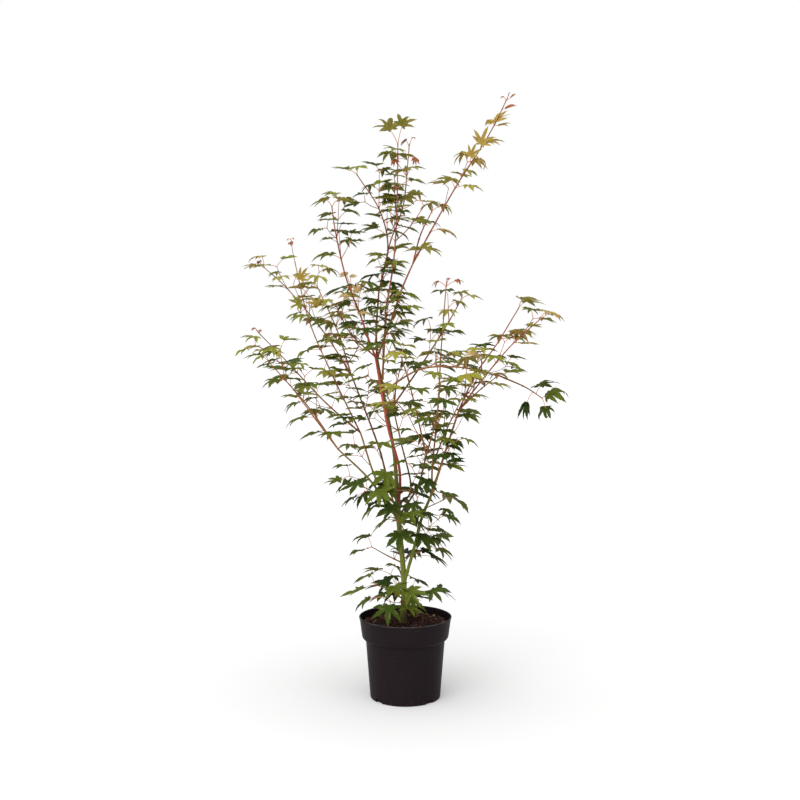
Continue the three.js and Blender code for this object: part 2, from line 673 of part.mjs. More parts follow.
/** The stem of a mass, squarely cut at the tip of its bough, or cut clear of the trunk.
 * Where two stems meet one tip, each keeps to its own side of the fork. */
function makeStem(name) {
  const { from: [carrier, ...neighbours], way } = MASSES[name];
  const line = lineThrough(way);
  const radiusAt = (share) => THREE.MathUtils.lerp(STEM_FOOT_RADIUS, STEM_TIP_RADIUS, share);
  let stem = sweep(line, radiusAt, STEM_SIDES, STEM_STEP);
  const start = line.getPointAt(0);
  if (carrier === 'trunk') stem = stem.subtract(limbCutter(carrier));
  else stem = pastPlane(stem, start, lineThrough(LIMBS[carrier].stations).getTangentAt(1), CLEARANCE);
  for (const limb of neighbours) stem = stem.subtract(limbCutter(limb));
  for (const [other, { from, way: otherWay }] of Object.entries(MASSES)) {
    if (other === name || from[0] !== carrier || carrier === 'trunk') continue;
    const apart = line.getTangentAt(0).sub(lineThrough(otherWay).getTangentAt(0)).normalize();
    stem = pastPlane(stem, start, apart, CLEARANCE / 2);
  }
  return wholeBody(stem);
}

// ---------------------------------------------------------------- the plant

const maple = new THREE.Group();
maple.name = 'potted_japanese_maple';
maple.add(toMesh(makePot(), 'pot', POT_FINISH));
maple.add(toMesh(makeSoil(), 'soil', SOIL_FINISH));

const limbs = makeLimbs();
for (const [name, limb] of Object.entries(limbs)) {
  maple.add(toMesh(limb, name, name === 'trunk' ? TRUNK_FINISH : BOUGH_FINISH));
}

const lines = {};
const stems = {};
for (const [name, mass] of Object.entries(MASSES)) {
  lines[name] = lineThrough(mass.way);
  stems[name] = makeStem(name);
}

const settled = [makePot(), ...Object.values(limbs)].map(withBox);
Object.entries(MASSES).forEach(([name, mass]) => {
  const otherStems = Object.keys(MASSES).filter((other) => other !== name);
  const others = [...settled, ...otherStems.map((other) => withBox(stems[other]))];
  const plan = growth(mass, lines[name]);
  const body = makeMass(stems[name], lines[name], plan, others);
  settled.push(withBox(body));
  maple.add(toMesh(body, name, LEAF_FINISHES[mass.tone]));
});

export default maple;
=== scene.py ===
# A potted Japanese maple: a young shrub of slender stems in a black nursery pot.
# Metres, +Z up, origin at the centre of the pot's flat underside, front at -Y.
import math

import bpy
import numpy as np
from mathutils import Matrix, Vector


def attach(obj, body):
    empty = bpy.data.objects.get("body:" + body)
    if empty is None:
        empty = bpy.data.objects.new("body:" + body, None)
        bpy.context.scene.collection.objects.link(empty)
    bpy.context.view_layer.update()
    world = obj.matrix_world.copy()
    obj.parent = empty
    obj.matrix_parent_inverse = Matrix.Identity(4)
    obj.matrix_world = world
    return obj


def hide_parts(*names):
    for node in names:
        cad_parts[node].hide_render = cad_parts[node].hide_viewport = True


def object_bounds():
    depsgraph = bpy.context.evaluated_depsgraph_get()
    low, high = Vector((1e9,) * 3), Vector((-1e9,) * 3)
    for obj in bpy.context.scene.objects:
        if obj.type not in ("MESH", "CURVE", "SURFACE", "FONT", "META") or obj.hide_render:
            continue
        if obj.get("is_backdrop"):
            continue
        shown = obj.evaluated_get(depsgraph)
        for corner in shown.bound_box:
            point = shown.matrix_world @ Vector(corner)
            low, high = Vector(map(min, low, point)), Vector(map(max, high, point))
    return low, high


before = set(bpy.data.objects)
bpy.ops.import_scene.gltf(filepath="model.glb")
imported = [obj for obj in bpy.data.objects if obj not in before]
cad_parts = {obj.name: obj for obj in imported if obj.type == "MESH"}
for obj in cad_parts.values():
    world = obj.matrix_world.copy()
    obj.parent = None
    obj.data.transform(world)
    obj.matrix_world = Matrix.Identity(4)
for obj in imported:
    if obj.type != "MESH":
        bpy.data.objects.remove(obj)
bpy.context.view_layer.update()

MM = 0.001


# ------------------------------------------------------------------ nursery pot
# A tapering pot of thin black polypropylene under a wider stacking collar, moulded in
# one piece. It stands on its flat floor, and four notches in its foot let water out.

POT_HEIGHT = 168
RIM_RADIUS = 95
COLLAR_FOOT = 127
COLLAR_FOOT_RADIUS = 89.5
STEP_FOOT = 122
STEP_CORNER_RADIUS = 87
BODY_TOP_RADIUS = 82
BODY_FOOT_RADIUS = 72.5
POT_WALL = 1.8
FLOOR_THICKNESS = 3
RIM_BEAD = 0.9
RIM_BEAD_HEIGHT = 4
BEAD_SLOPE = 0.6
STEP_SLOPE = 1.2
NOTCH_WIDTH = 17
NOTCH_HEIGHT = 7
NOTCH_FLOOR_RADIUS = 68
NOTCH_TURNS = (-48, 42, 132, 222)
NOTCH_EDGE_TURN = 0.25
# Heights and a radius where the even surfaces get a ring of places, and the roundness
# of the corners between them.
FLOOR_RING_RADIUS = 20
BODY_RINGS = (12, 60)
COLLAR_RING = 150
CORNER_REACH = 1.4
CORNER_SHARE = 0.45
CORNER_STEPS = 4
HAIR = 0.01
POT_COLUMN_TURN = 2.5
POT_BLACK = (0.0115, 0.0075, 0.0088)
POT_DUST = (0.075, 0.062, 0.055)
POT_RUBBED_AND_HIGHLIGHT = (0.060, 0.056, 0.060)
POT_CRUMBS = (0.150, 0.050, 0.036)
# Heights in metres between which dust, a rubbed edge that is also a painted highlight, and splashed compost
# fade in.
DUST_HEIGHTS = (0.045, 0.0)
RUB_AND_HIGHLIGHT_HEIGHTS = (0.1668, 0.1678)
CRUMB_HEIGHTS = (0.011, 0.005)


class Value:
    """A shader value that can stand in a sum or a product: each operator adds its Math
    node."""

    def __init__(self, finish, socket):
        self.finish = finish
        self.socket = socket

    def maths(self, operation, first, second):
        return self.finish.node("ShaderNodeMath", {"operation": operation}, {0: first, 1: second})

    def __add__(self, other):
        return self.maths("ADD", self, other)

    def __radd__(self, other):
        return self.maths("ADD", other, self)

    def __mul__(self, other):
        return self.maths("MULTIPLY", self, other)

    def __rmul__(self, other):
        return self.maths("MULTIPLY", other, self)


class Finish:
    """A material with one Principled shader. Constants go on the shader's own sockets,
    and every other node comes from the one method below."""

    def __init__(self, name, constants):
        self.material = bpy.data.materials.new(name)
        self.material.use_nodes = True
        self.tree = self.material.node_tree
        self.shader = self.tree.nodes["Principled BSDF"]
        for socket, value in constants.items():
            self.give(socket, value)

    def give(self, socket, value):
        """Puts a constant or a pattern on one of the shader's own sockets."""
        self.feed(self.shader.inputs[socket], value)

    def feed(self, socket, value):
        """Links a pattern to a socket, or sets a constant on it."""
        if isinstance(value, Value):
            self.tree.links.new(value.socket, socket)
        elif isinstance(value, tuple) and len(value) == 3 and socket.type == "RGBA":
            socket.default_value = (*value, 1)
        else:
            socket.default_value = value

    def node(self, kind, settings, sockets, output=0):
        """Adds a node: its type, its settings, the values or links of its sockets, and
        the output that is read."""
        node = self.tree.nodes.new(kind)
        for name, value in settings.items():
            setattr(node, name, value)
        for name, value in sockets.items():
            self.feed(node.inputs[name], value)
        return Value(self, node.outputs[output])

    def places(self):
        return self.node("ShaderNodeTexCoord", {}, {}, "Object")

    def part(self, vector, axis):
        return self.node("ShaderNodeSeparateXYZ", {}, {0: vector}, axis)

    def noise(self, vector, scale, detail=3.0, roughness=0.55):
        return self.node("ShaderNodeTexNoise", {}, {
            "Vector": vector, "Scale": scale, "Detail": detail, "Roughness": roughness}, "Fac")

    def range(self, value, low, high, to_low=0.0, to_high=1.0):
        return self.node("ShaderNodeMapRange", {"interpolation_type": "SMOOTHSTEP"}, {
            "Value": value, "From Min": low, "From Max": high, "To Min": to_low, "To Max": to_high})

    def mix(self, share, first, second):
        return self.node("ShaderNodeMix", {"data_type": "RGBA"}, {0: share, 6: first, 7: second}, 2)

    def stretch(self, vector, scale):
        return self.node("ShaderNodeMapping", {}, {"Vector": vector, "Scale": scale})

    def bump(self, height, strength, distance):
        return self.node("ShaderNodeBump", {}, {
            "Height": height, "Strength": strength, "Distance": distance})


def ring_faces(rows, columns):
    """Corners of the quads between neighbouring rings of places, which are numbered ring
    by ring: each column joins the next, and the last joins the first."""
    row, column = np.meshgrid(np.arange(rows - 1), np.arange(columns), indexing="ij")
    after = (column + 1) % columns
    corners = [row * columns + column, row * columns + after,
               (row + 1) * columns + after, (row + 1) * columns + column]
    return np.stack(corners, -1).reshape(-1, 4)


def fan_faces(centre, ring, turned):
    """Triangles from one place to each side of a closed ring of places."""
    after = np.roll(ring, -1)
    ends = (after, ring) if turned else (ring, after)
    return np.stack([np.full(len(ring), centre), *ends], -1)


def capped_faces(rows, columns):
    """Faces of a closed skin: the quads between its rings, and a fan over each end to one
    of the two places that follow the rings."""
    first, last = np.arange(columns), np.arange(columns) + (rows - 1) * columns
    return [ring_faces(rows, columns), fan_faces(rows * columns, first, True),
            fan_faces(rows * columns + 1, last, False)]


def make_piece(name, places, faces, finishes, crease, finish_of_face=None):
    """A shown piece: places in millimetres, and groups of faces of equal corner count,
    shaded smooth but for edges that turn by more than the crease."""
    mesh = bpy.data.meshes.new(name)
    listed = [face for group in faces for face in group.tolist()]
    mesh.from_pydata((np.asarray(places) * MM).tolist(), [], listed)
    for finish in finishes:
        mesh.materials.append(finish.material)
    if finish_of_face is not None:
        mesh.polygons.foreach_set("material_index", finish_of_face)
    mesh.polygons.foreach_set("use_smooth", np.ones(len(listed), bool))
    mesh.set_sharp_from_angle(angle=math.radians(crease))
    mesh.update()
    piece = bpy.data.objects.new(name, mesh)
    bpy.context.scene.collection.objects.link(piece)
    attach(piece, "root")
    return piece


def lathe(radii, heights, turns):
    """Surface of revolution: place = (radius cos turn, radius sin turn, height), with one
    ring of places for each row. Both ends are closed by fans to the axis."""
    turn = np.radians(turns)
    ring = np.stack([radii * np.cos(turn), radii * np.sin(turn), heights], -1)
    ends = [[0, 0, heights[0].mean()], [0, 0, heights[-1].mean()]]
    return np.vstack([ring.reshape(-1, 3), ends]), capped_faces(*radii.shape)


def eased(points, reach):
    """An outline whose corners are rounded: near each corner it follows the parabola
    that leaves one side and joins the next, at most a reach and never half a side away
    from the corner."""
    points = np.array(points, float)
    share = np.linspace(0, 1, CORNER_STEPS)[:, None]
    outline = [points[:1]]
    for before, corner, after in zip(points, points[1:], points[2:]):
        to_before, to_after = before - corner, after - corner
        near = min(reach, *(CORNER_SHARE * np.linalg.norm(side) for side in (to_before, to_after)))
        start = corner + to_before / np.linalg.norm(to_before) * near
        end = corner + to_after / np.linalg.norm(to_after) * near
        outline.append((1 - share) ** 2 * start + 2 * share * (1 - share) * corner + share ** 2 * end)
    return np.vstack([*outline, points[-1:]])


def body_radius(height):
    """Outside radius of the pot's tapering body at a height."""
    return BODY_FOOT_RADIUS + (BODY_TOP_RADIUS - BODY_FOOT_RADIUS) * height / STEP_FOOT


def collar_radius(height):
    """Outside radius of the pot's collar at a height."""
    share = (height - COLLAR_FOOT) / (POT_HEIGHT - COLLAR_FOOT)
    return COLLAR_FOOT_RADIUS + (RIM_RADIUS - COLLAR_FOOT_RADIUS) * share


bead_foot = POT_HEIGHT - RIM_BEAD_HEIGHT
low_ring, middle_ring = BODY_RINGS
notch_roof = NOTCH_HEIGHT + POT_WALL
pot_outside = eased([
    (FLOOR_RING_RADIUS, 0), (NOTCH_FLOOR_RADIUS - HAIR, 0), (body_radius(0), 0),
    (body_radius(NOTCH_HEIGHT), NOTCH_HEIGHT), (body_radius(middle_ring), middle_ring),
    (BODY_TOP_RADIUS, STEP_FOOT), (STEP_CORNER_RADIUS, STEP_FOOT + STEP_SLOPE),
    (COLLAR_FOOT_RADIUS, COLLAR_FOOT), (collar_radius(COLLAR_RING), COLLAR_RING),
    (collar_radius(bead_foot), bead_foot), (collar_radius(bead_foot) + RIM_BEAD, bead_foot + BEAD_SLOPE),
    (RIM_RADIUS + RIM_BEAD, POT_HEIGHT), (RIM_RADIUS - POT_WALL, POT_HEIGHT)], CORNER_REACH)
pot_inside = np.array([
    (collar_radius(COLLAR_RING) - POT_WALL, COLLAR_RING), (COLLAR_FOOT_RADIUS - POT_WALL, COLLAR_FOOT),
    (BODY_TOP_RADIUS - POT_WALL, STEP_FOOT), (body_radius(low_ring) - POT_WALL, low_ring),
    (body_radius(notch_roof) - POT_WALL, notch_roof),
    (body_radius(FLOOR_THICKNESS) - POT_WALL, FLOOR_THICKNESS), (FLOOR_RING_RADIUS, FLOOR_THICKNESS)])
pot_outline = np.vstack([pot_outside, pot_inside])
notch_half_turn = math.degrees(NOTCH_WIDTH / 2 / BODY_FOOT_RADIUS)
notch_edges = [turn + side * (notch_half_turn + edge)
               for turn in NOTCH_TURNS for side in (-1, 1) for edge in (0, NOTCH_EDGE_TURN)]
pot_turns = np.unique(np.concatenate([np.arange(0, 360, POT_COLUMN_TURN), np.mod(notch_edges, 360)]))
from_notch = np.min([np.abs((pot_turns - turn + 180) % 360 - 180) for turn in NOTCH_TURNS], axis=0)
in_notch = from_notch < notch_half_turn + NOTCH_EDGE_TURN / 2
pot_radii = np.repeat(pot_outline[:, :1], len(pot_turns), 1)
pot_heights = np.repeat(pot_outline[:, 1:], len(pot_turns), 1)
is_outside = np.arange(len(pot_outline))[:, None] < len(pot_outside)
niche = np.where(is_outside, NOTCH_FLOOR_RADIUS, NOTCH_FLOOR_RADIUS - POT_WALL)
is_low = pot_heights < np.where(is_outside, NOTCH_HEIGHT, notch_roof) - HAIR
pot_radii = np.where(in_notch[None] & is_low, np.minimum(pot_radii, niche), pot_radii)
pot_places, pot_faces = lathe(pot_radii, pot_heights, pot_turns)

plastic = Finish("black_polypropylene", {"Specular IOR Level": 0.05})
pot_at = plastic.places()
above_ground = plastic.part(pot_at, "Z")
dust = plastic.range(plastic.noise(pot_at, 55, 5, 0.65), 0.56, 0.74)
low_dust = plastic.range(above_ground, *DUST_HEIGHTS, 0.12, 1.0)
from_speck = plastic.node("ShaderNodeTexVoronoi", {}, {"Vector": pot_at, "Scale": 95.0}, "Distance")
speckled = plastic.range(plastic.noise(pot_at, 17, 2), 0.58, 0.66)
specks = plastic.range(from_speck, 0.075, 0.035) * speckled
scuff_lines = plastic.noise(plastic.stretch(pot_at, (60, 60, 420)), 1.0, 4, 0.6)
scuffs = plastic.range(scuff_lines, 0.62, 0.72) * 0.16
dusty = dust * low_dust * 0.30 + specks * 0.55 + scuffs
# A pale line along the rim's top edge: rubbed wear, and a painted highlight along the lip.
rubbed_and_highlight = plastic.range(above_ground, *RUB_AND_HIGHLIGHT_HEIGHTS) * plastic.range(plastic.noise(pot_at, 40, 3), 0.3, 0.6)
splashes = plastic.range(plastic.noise(pot_at, 130, 3), 0.60, 0.68)
crumbs = plastic.range(above_ground, *CRUMB_HEIGHTS) * splashes
worn_and_highlight = plastic.mix(rubbed_and_highlight, plastic.mix(dusty, POT_BLACK, POT_DUST), POT_RUBBED_AND_HIGHLIGHT)
plastic.give("Base Color", plastic.mix(crumbs * 0.8, worn_and_highlight, POT_CRUMBS))
plastic.give("Roughness", 0.42 + plastic.noise(pot_at, 30, 4) * 0.16 + dusty * 0.3)
orange_peel = plastic.noise(pot_at, 900, 2) * 0.5 + plastic.noise(pot_at, 60, 3)
plastic.give("Normal", plastic.bump(orange_peel, 0.25, 0.0006))

pot = make_piece("nursery_pot", pot_places, pot_faces, [plastic], crease=32)
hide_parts("pot")


# --------------------------------------------------------------- bark compost
# Composted bark fills the pot to just under the rim: a dark crumbly bed, with flat
# chips of bark lying loose on it at every angle.

SOIL_TOP = 155
SOIL_CROWN = 1.5
SOIL_EDGE_RADIUS = 91
SOIL_SINK = 1.2
# Radius and height of the bed's hidden floor and side, just inside the pot's wall.
BED_SIDE = ((20, 3.4), (70, 3.4), (79.7, 122.3), (85, 124), (87.2, 128), (SOIL_EDGE_RADIUS - 0.4, 150))
BED_RELIEF = 1.6
COARSE_CRUMB = 22
FINE_CRUMB = 7
BED_ROWS = 60
BED_COLUMNS = 120
CHIP_COUNT = 1300
CHIP_LENGTHS = (4, 15)
CHIP_WIDTHS = (2.5, 6.5)
CHIP_THICKNESSES = (0.9, 2.4)
CHIP_CORNER_SHARES = (0.62, 1.1)
CHIP_TILT = 0.33
CHIP_LIFT = 0.3
CHIP_EDGE_GAP = 5
CHIP_SEED = 31
RIPPLE_WAVES = 24
BED_BROWN = (0.014, 0.007, 0.005)
BED_RUST = (0.040, 0.016, 0.010)
CHIP_COLOURS = {
    "dark": ((0.016, 0.007, 0.005), (0.034, 0.014, 0.009)),
    "rust": ((0.042, 0.014, 0.009), (0.085, 0.030, 0.018)),
    "tan": ((0.120, 0.062, 0.034), (0.240, 0.140, 0.080)),
}
CHIP_SHARES = (0.62, 0.32, 0.06)


def ripple(places, wave, seed):
    """Even random relief between about -1 and 1: the mean of plane waves of random
    direction and phase, whose lengths lie round the given wave."""
    chance = np.random.default_rng(seed)
    ways = chance.normal(size=(RIPPLE_WAVES, places.shape[-1]))
    ways *= (2 * np.pi / wave) * chance.uniform(0.6, 1.7, (RIPPLE_WAVES, 1)) / np.linalg.norm(
        ways, axis=1, keepdims=True)
    phases = chance.uniform(0, 2 * np.pi, RIPPLE_WAVES)
    return np.cos(places @ ways.T + phases).sum(-1) / math.sqrt(RIPPLE_WAVES)


def bed_height(x, y):
    """Height of the compost: flat in the middle, falling a little to the wall, with
    coarse and fine crumbs."""
    out = np.hypot(x, y) / SOIL_EDGE_RADIUS
    level = SOIL_TOP - SOIL_CROWN * np.clip((out - 0.8) / 0.2, 0, 1)
    at = np.stack([x, y], -1)
    crumbs = 0.5 * ripple(at, COARSE_CRUMB, 5) + 0.35 * ripple(at, FINE_CRUMB, 6)
    return level + BED_RELIEF * crumbs - SOIL_SINK


def turnings(angles, first, second):
    """Matrices that turn by each angle from the first of two axes towards the second."""
    turning = np.tile(np.eye(3), (len(angles), 1, 1))
    turning[:, first, first] = turning[:, second, second] = np.cos(angles)
    turning[:, second, first] = np.sin(angles)
    turning[:, first, second] = -np.sin(angles)
    return turning


bed_outline = np.vstack([
    BED_SIDE, np.stack([np.linspace(SOIL_EDGE_RADIUS, 1, BED_ROWS), np.full(BED_ROWS, SOIL_TOP)], -1)])
bed_turns = np.arange(BED_COLUMNS) * 360 / BED_COLUMNS
bed_radii = np.repeat(bed_outline[:, :1], BED_COLUMNS, 1)
bed_heights = np.repeat(bed_outline[:, 1:], BED_COLUMNS, 1)
top_rows = slice(len(bed_outline) - BED_ROWS, None)
bed_angle = np.radians(bed_turns)[None]
bed_heights[top_rows] = bed_height(
    bed_radii[top_rows] * np.cos(bed_angle), bed_radii[top_rows] * np.sin(bed_angle))
bed_places, bed_faces = lathe(bed_radii, bed_heights, bed_turns)

compost = Finish("composted_bark", {"Roughness": 0.95, "Specular IOR Level": 0.15})
crumb = compost.noise(compost.places(), 260, 5, 0.7)
compost.give("Base Color", compost.mix(compost.range(crumb, 0.45, 0.75), BED_BROWN, BED_RUST))
compost.give("Normal", compost.bump(crumb, 0.9, 0.003))
bed = make_piece("compost_bed", bed_places, bed_faces, [compost], crease=180)
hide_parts("soil")

chance = np.random.default_rng(CHIP_SEED)
chip_out = (SOIL_EDGE_RADIUS - CHIP_EDGE_GAP) * np.sqrt(chance.uniform(0, 1, CHIP_COUNT))
chip_turn = chance.uniform(0, 2 * np.pi, CHIP_COUNT)
chip_x, chip_y = chip_out * np.cos(chip_turn), chip_out * np.sin(chip_turn)
chip_size = np.stack([
    chance.uniform(*CHIP_LENGTHS, CHIP_COUNT) * chance.uniform(0.5, 1, CHIP_COUNT),
    chance.uniform(*CHIP_WIDTHS, CHIP_COUNT), chance.uniform(*CHIP_THICKNESSES, CHIP_COUNT)], -1)
CUBE = np.array([(x, y, z) for z in (-0.5, 0.5) for y in (-0.5, 0.5) for x in (-0.5, 0.5)])
CUBE_FACES = np.array([(0, 2, 3, 1), (4, 5, 7, 6), (0, 1, 5, 4), (1, 3, 7, 5), (3, 2, 6, 7), (2, 0, 4, 6)])
chips = CUBE[None] * chip_size[:, None] * chance.uniform(*CHIP_CORNER_SHARES, (CHIP_COUNT, len(CUBE), 1))
yaw, tilt = chance.uniform(0, 2 * np.pi, CHIP_COUNT), chance.normal(0, CHIP_TILT, CHIP_COUNT)
chips = np.einsum("nij,njk,nck->nci", turnings(yaw, 0, 1), turnings(tilt, 0, 2), chips)
chip_z = bed_height(chip_x, chip_y) + chip_size[:, 2] * 0.45 + CHIP_LIFT
chips += np.stack([chip_x, chip_y, chip_z], -1)[:, None]
chip_kind = chance.choice(3, CHIP_COUNT, p=CHIP_SHARES)
for kind, (name, (dark, pale)) in enumerate(CHIP_COLOURS.items()):
    chosen = chips[chip_kind == kind]
    chip_finish = Finish(f"bark_chip_{name}", {"Roughness": 0.85, "Specular IOR Level": 0.2})
    grain = chip_finish.noise(chip_finish.places(), 190, 4, 0.65)
    chip_finish.give("Base Color", chip_finish.mix(chip_finish.range(grain, 0.35, 0.7), dark, pale))
    chip_finish.give("Normal", chip_finish.bump(grain, 0.7, 0.0015))
    corners = (np.arange(len(chosen)) * len(CUBE))[:, None, None] + CUBE_FACES
    chip_piece = make_piece(
        f"bark_chips_{name}", chosen.reshape(-1, 3), [corners.reshape(-1, 4)], [chip_finish], crease=20)
    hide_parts("soil")


# ------------------------------------------------------------ trunk and boughs
# Living wood: one short trunk that flares at the compost, and slender boughs that fork
# from it. The thin bark is smooth, ringed at each old bud pair, olive on the oldest
# wood and brown to rose red on the young.

FLARE_RADIUS = 4
FLARE_HEIGHT = 14
LIMB_SIDES = 20
LIMB_STEP = 2.5
NODE_SPACING = 47
NODE_WIDTH = 2.6
NODE_SWELLING = 0.17
GROOVE_AFTER = 3.2
GROOVE_WIDTH = 0.9
GROOVE_DEPTH = 0.07
BARK_RELIEF = 0.035
BARK_WAVE = 7
BARK_ROUND = 9
BARK_ALONG = 0.32
RING_SHIFTS = 17
LINE_MARKS = 201
LINE_STEP = 1e-4
COLLAR_SWELLING = 0.55
COLLAR_REACH = 7
SPLASH_HEIGHTS = (0.190, 0.160)
SPLASH_BROWN = (0.050, 0.030, 0.016)
PORE_TAN = (0.42, 0.33, 0.20)

# Each limb's stations of x, y, z and radius, in millimetres.
LIMBS = {
    "trunk": [(-5, 0, 150, 6.2), (-3, 0, 243, 5.6), (-15, 0, 384, 5.1), (-24, 0, 511, 3.4),
              (-58, 0, 702, 2.4)],
    "right_stem": [(-3, 0, 236, 3.5), (18, -8, 311, 3.3), (33, -18, 373, 3), (56, -28, 432, 2.6)],
    "red_leader": [(-15, 0, 381, 2.9), (-12, -13, 473, 2.7), (-37, -13, 567, 2.4), (-61, -13, 704, 2)],
    "bough_left_low": [(-15, 0, 368, 2.5), (-72, -40, 456, 2.1), (-134, -80, 523, 1.6)],
    "bough_left": [(-16, 0, 396, 2.6), (-58, 20, 444, 2.2), (-94, 50, 544, 1.7)],
    "bough_left_rear": [(-16, 0, 420, 2.4), (-36, 30, 447, 2.2), (-59, 70, 521, 2), (-117, 130, 665, 1.6)],
    "bough_rear": [(-15, 0, 398, 2.1), (12, 45, 428, 1.9), (-10, 90, 525, 1.6)],
    "bough_front": [(-13, 0, 376, 2.1), (25, -45, 444, 1.9), (41, -80, 511, 1.6)],
    "bough_rear_right": [(-36, 0, 588, 2), (25, 60, 673, 1.8), (65, 90, 732, 1.6)],
    "bough_arching": [(-42, 0, 636, 2), (29, -50, 680, 1.8), (108, -80, 685, 1.6), (186, -90, 668, 1.4)],
    "bough_centre": [(-47, 0, 658, 2.1), (-42, -14, 749, 1.9), (-40, -10, 799, 1.7)],
    "bough_upper_left": [(-61, -13, 704, 2), (-76, -30, 745, 1.9), (-89, -45, 785, 1.6)],
    "bough_upper_rear": [(-58, 0, 702, 2.3), (-60, 25, 759, 2), (-55, 45, 838, 1.7)],
    "bough_right_leader": [(-58, 0, 702, 2.2), (-30, -24, 775, 2), (-7, -45, 841, 1.8),
                           (15, -60, 891, 1.5)],
    "bough_right": [(56, -28, 432, 2.5), (77, -60, 507, 2.2), (105, -90, 601, 1.8)],
    "bough_right_upright": [(56, -28, 432, 2.2), (54, -26, 458, 2), (55, -26, 485, 1.8)],
}

# Each bark: its limbs, its colour low and high on them and the heights between which it
# changes, the colour of its weathered patches, and its slot.
BARKS = {
    "olive": (("trunk", "right_stem"), (0.150, 0.165, 0.022), (0.150, 0.105, 0.026), (0.30, 0.52),
              (0.060, 0.050, 0.026), "trunk_bark"),
    "rose": (("red_leader", "bough_upper_left"), (0.250, 0.036, 0.034), (0.430, 0.085, 0.066),
             (0.44, 0.62), (0.200, 0.040, 0.030), "bough_bark"),
    "green": (("bough_left", "bough_left_low"), (0.160, 0.148, 0.026), (0.260, 0.140, 0.044), (0.42, 0.54),
              (0.120, 0.070, 0.026), "bough_bark"),
    "brown": (("bough_left_rear", "bough_rear", "bough_front", "bough_rear_right"), (0.100, 0.055, 0.020),
              (0.210, 0.085, 0.034), (0.40, 0.66), (0.050, 0.026, 0.016), "bough_bark"),
    "orange": (("bough_arching", "bough_centre", "bough_upper_rear", "bough_right_leader", "bough_right",
                "bough_right_upright"), (0.250, 0.130, 0.036), (0.300, 0.095, 0.042), (0.45, 0.85),
               (0.110, 0.045, 0.024), "bough_bark"),
}


def unit(vectors):
    """The same directions at length one."""
    return vectors / np.linalg.norm(vectors, axis=-1, keepdims=True)


class Line:
    """A smooth line through points: each span is the cubic that starts and ends on two
    of them, with slopes there of half the step between the points on either side."""

    def __init__(self, points):
        points = np.array(points, float)[:, :3]
        self.points = np.vstack([2 * points[0] - points[1], points, 2 * points[-1] - points[-2]])
        self.spans = len(points) - 1
        self.marks = np.linspace(0, 1, LINE_MARKS)
        steps = np.linalg.norm(np.diff(self.at(self.marks), axis=0), axis=1)
        self.reached = np.concatenate([[0], np.cumsum(steps)])
        self.length = self.reached[-1]
        chord = unit(points[-1] - points[0])
        level = np.array([-chord[1], chord[0], 0])
        self.level = unit(level) if np.linalg.norm(level) > 0.15 else np.array([1.0, 0, 0])

    def at(self, mark):
        position = np.clip(np.asarray(mark, float) * self.spans, 0, self.spans)
        span = np.minimum(position.astype(int), self.spans - 1)
        along = (position - span)[..., None]
        before, start, end, after = (self.points[span + step] for step in range(4))
        leave, arrive = (end - before) / 2, (after - start) / 2
        return (start + leave * along + (3 * (end - start) - 2 * leave - arrive) * along ** 2
                + (2 * (start - end) + leave + arrive) * along ** 3)

    def mark(self, share):
        return np.interp(np.asarray(share, float) * self.length, self.reached, self.marks)

    def place(self, share):
        return self.at(self.mark(share))

    def frame(self, share):
        """Place, direction and two crossing directions at shares of the length. The first
        crossing is kept level all along the line, so that nothing twists."""
        mark = self.mark(share)
        along = unit(self.at(np.minimum(mark + LINE_STEP, 1)) - self.at(np.maximum(mark - LINE_STEP, 0)))
        level = np.broadcast_to(self.level, along.shape)
        across = unit(level - along * (level * along).sum(-1, keepdims=True))
        return self.at(mark), along, across, np.cross(along, across)


def tube(line, shares, radii):
    """Skin round a line: at each share a ring of places, one for each column of radii,
    set out square to the line, with both ends closed by fans. Also gives each place as
    if the limb were straight: round its axis, and at its distance along."""
    rows, columns = radii.shape
    turn = 2 * np.pi * np.arange(columns) / columns
    place, _, across, over = (part[:, None] for part in line.frame(shares))
    outwards = np.stack([np.cos(turn), np.sin(turn)], -1)[None] * radii[..., None]
    ring = place + across * outwards[..., :1] + over * outwards[..., 1:]
    distance = np.repeat((shares * line.length)[:, None, None], columns, 1)
    straight = np.concatenate([outwards, distance], -1)
    places = np.vstack([ring.reshape(-1, 3), line.place(shares[0]), line.place(shares[-1])])
    straight_ends = [[0, 0, distance[0, 0, 0]], [0, 0, distance[-1, 0, 0]]]
    return places, capped_faces(rows, columns), np.vstack([straight.reshape(-1, 3), straight_ends])


class Bundle:
    """Skins gathered into one mesh, each kept whole."""

    def __init__(self):
        self.places, self.faces, self.straight, self.count = [], [], [], 0

    def add(self, places, faces, straight):
        self.places.append(places)
        self.faces += [group + self.count for group in faces]
        self.straight.append(straight)
        self.count += len(places)

    def make(self, name, finish):
        piece = make_piece(name, np.vstack(self.places), self.faces, [finish], crease=60)
        along = piece.data.attributes.new("straight", "FLOAT_VECTOR", "POINT")
        along.data.foreach_set("vector", (np.vstack(self.straight) * MM).astype(np.float32).ravel())
        return piece


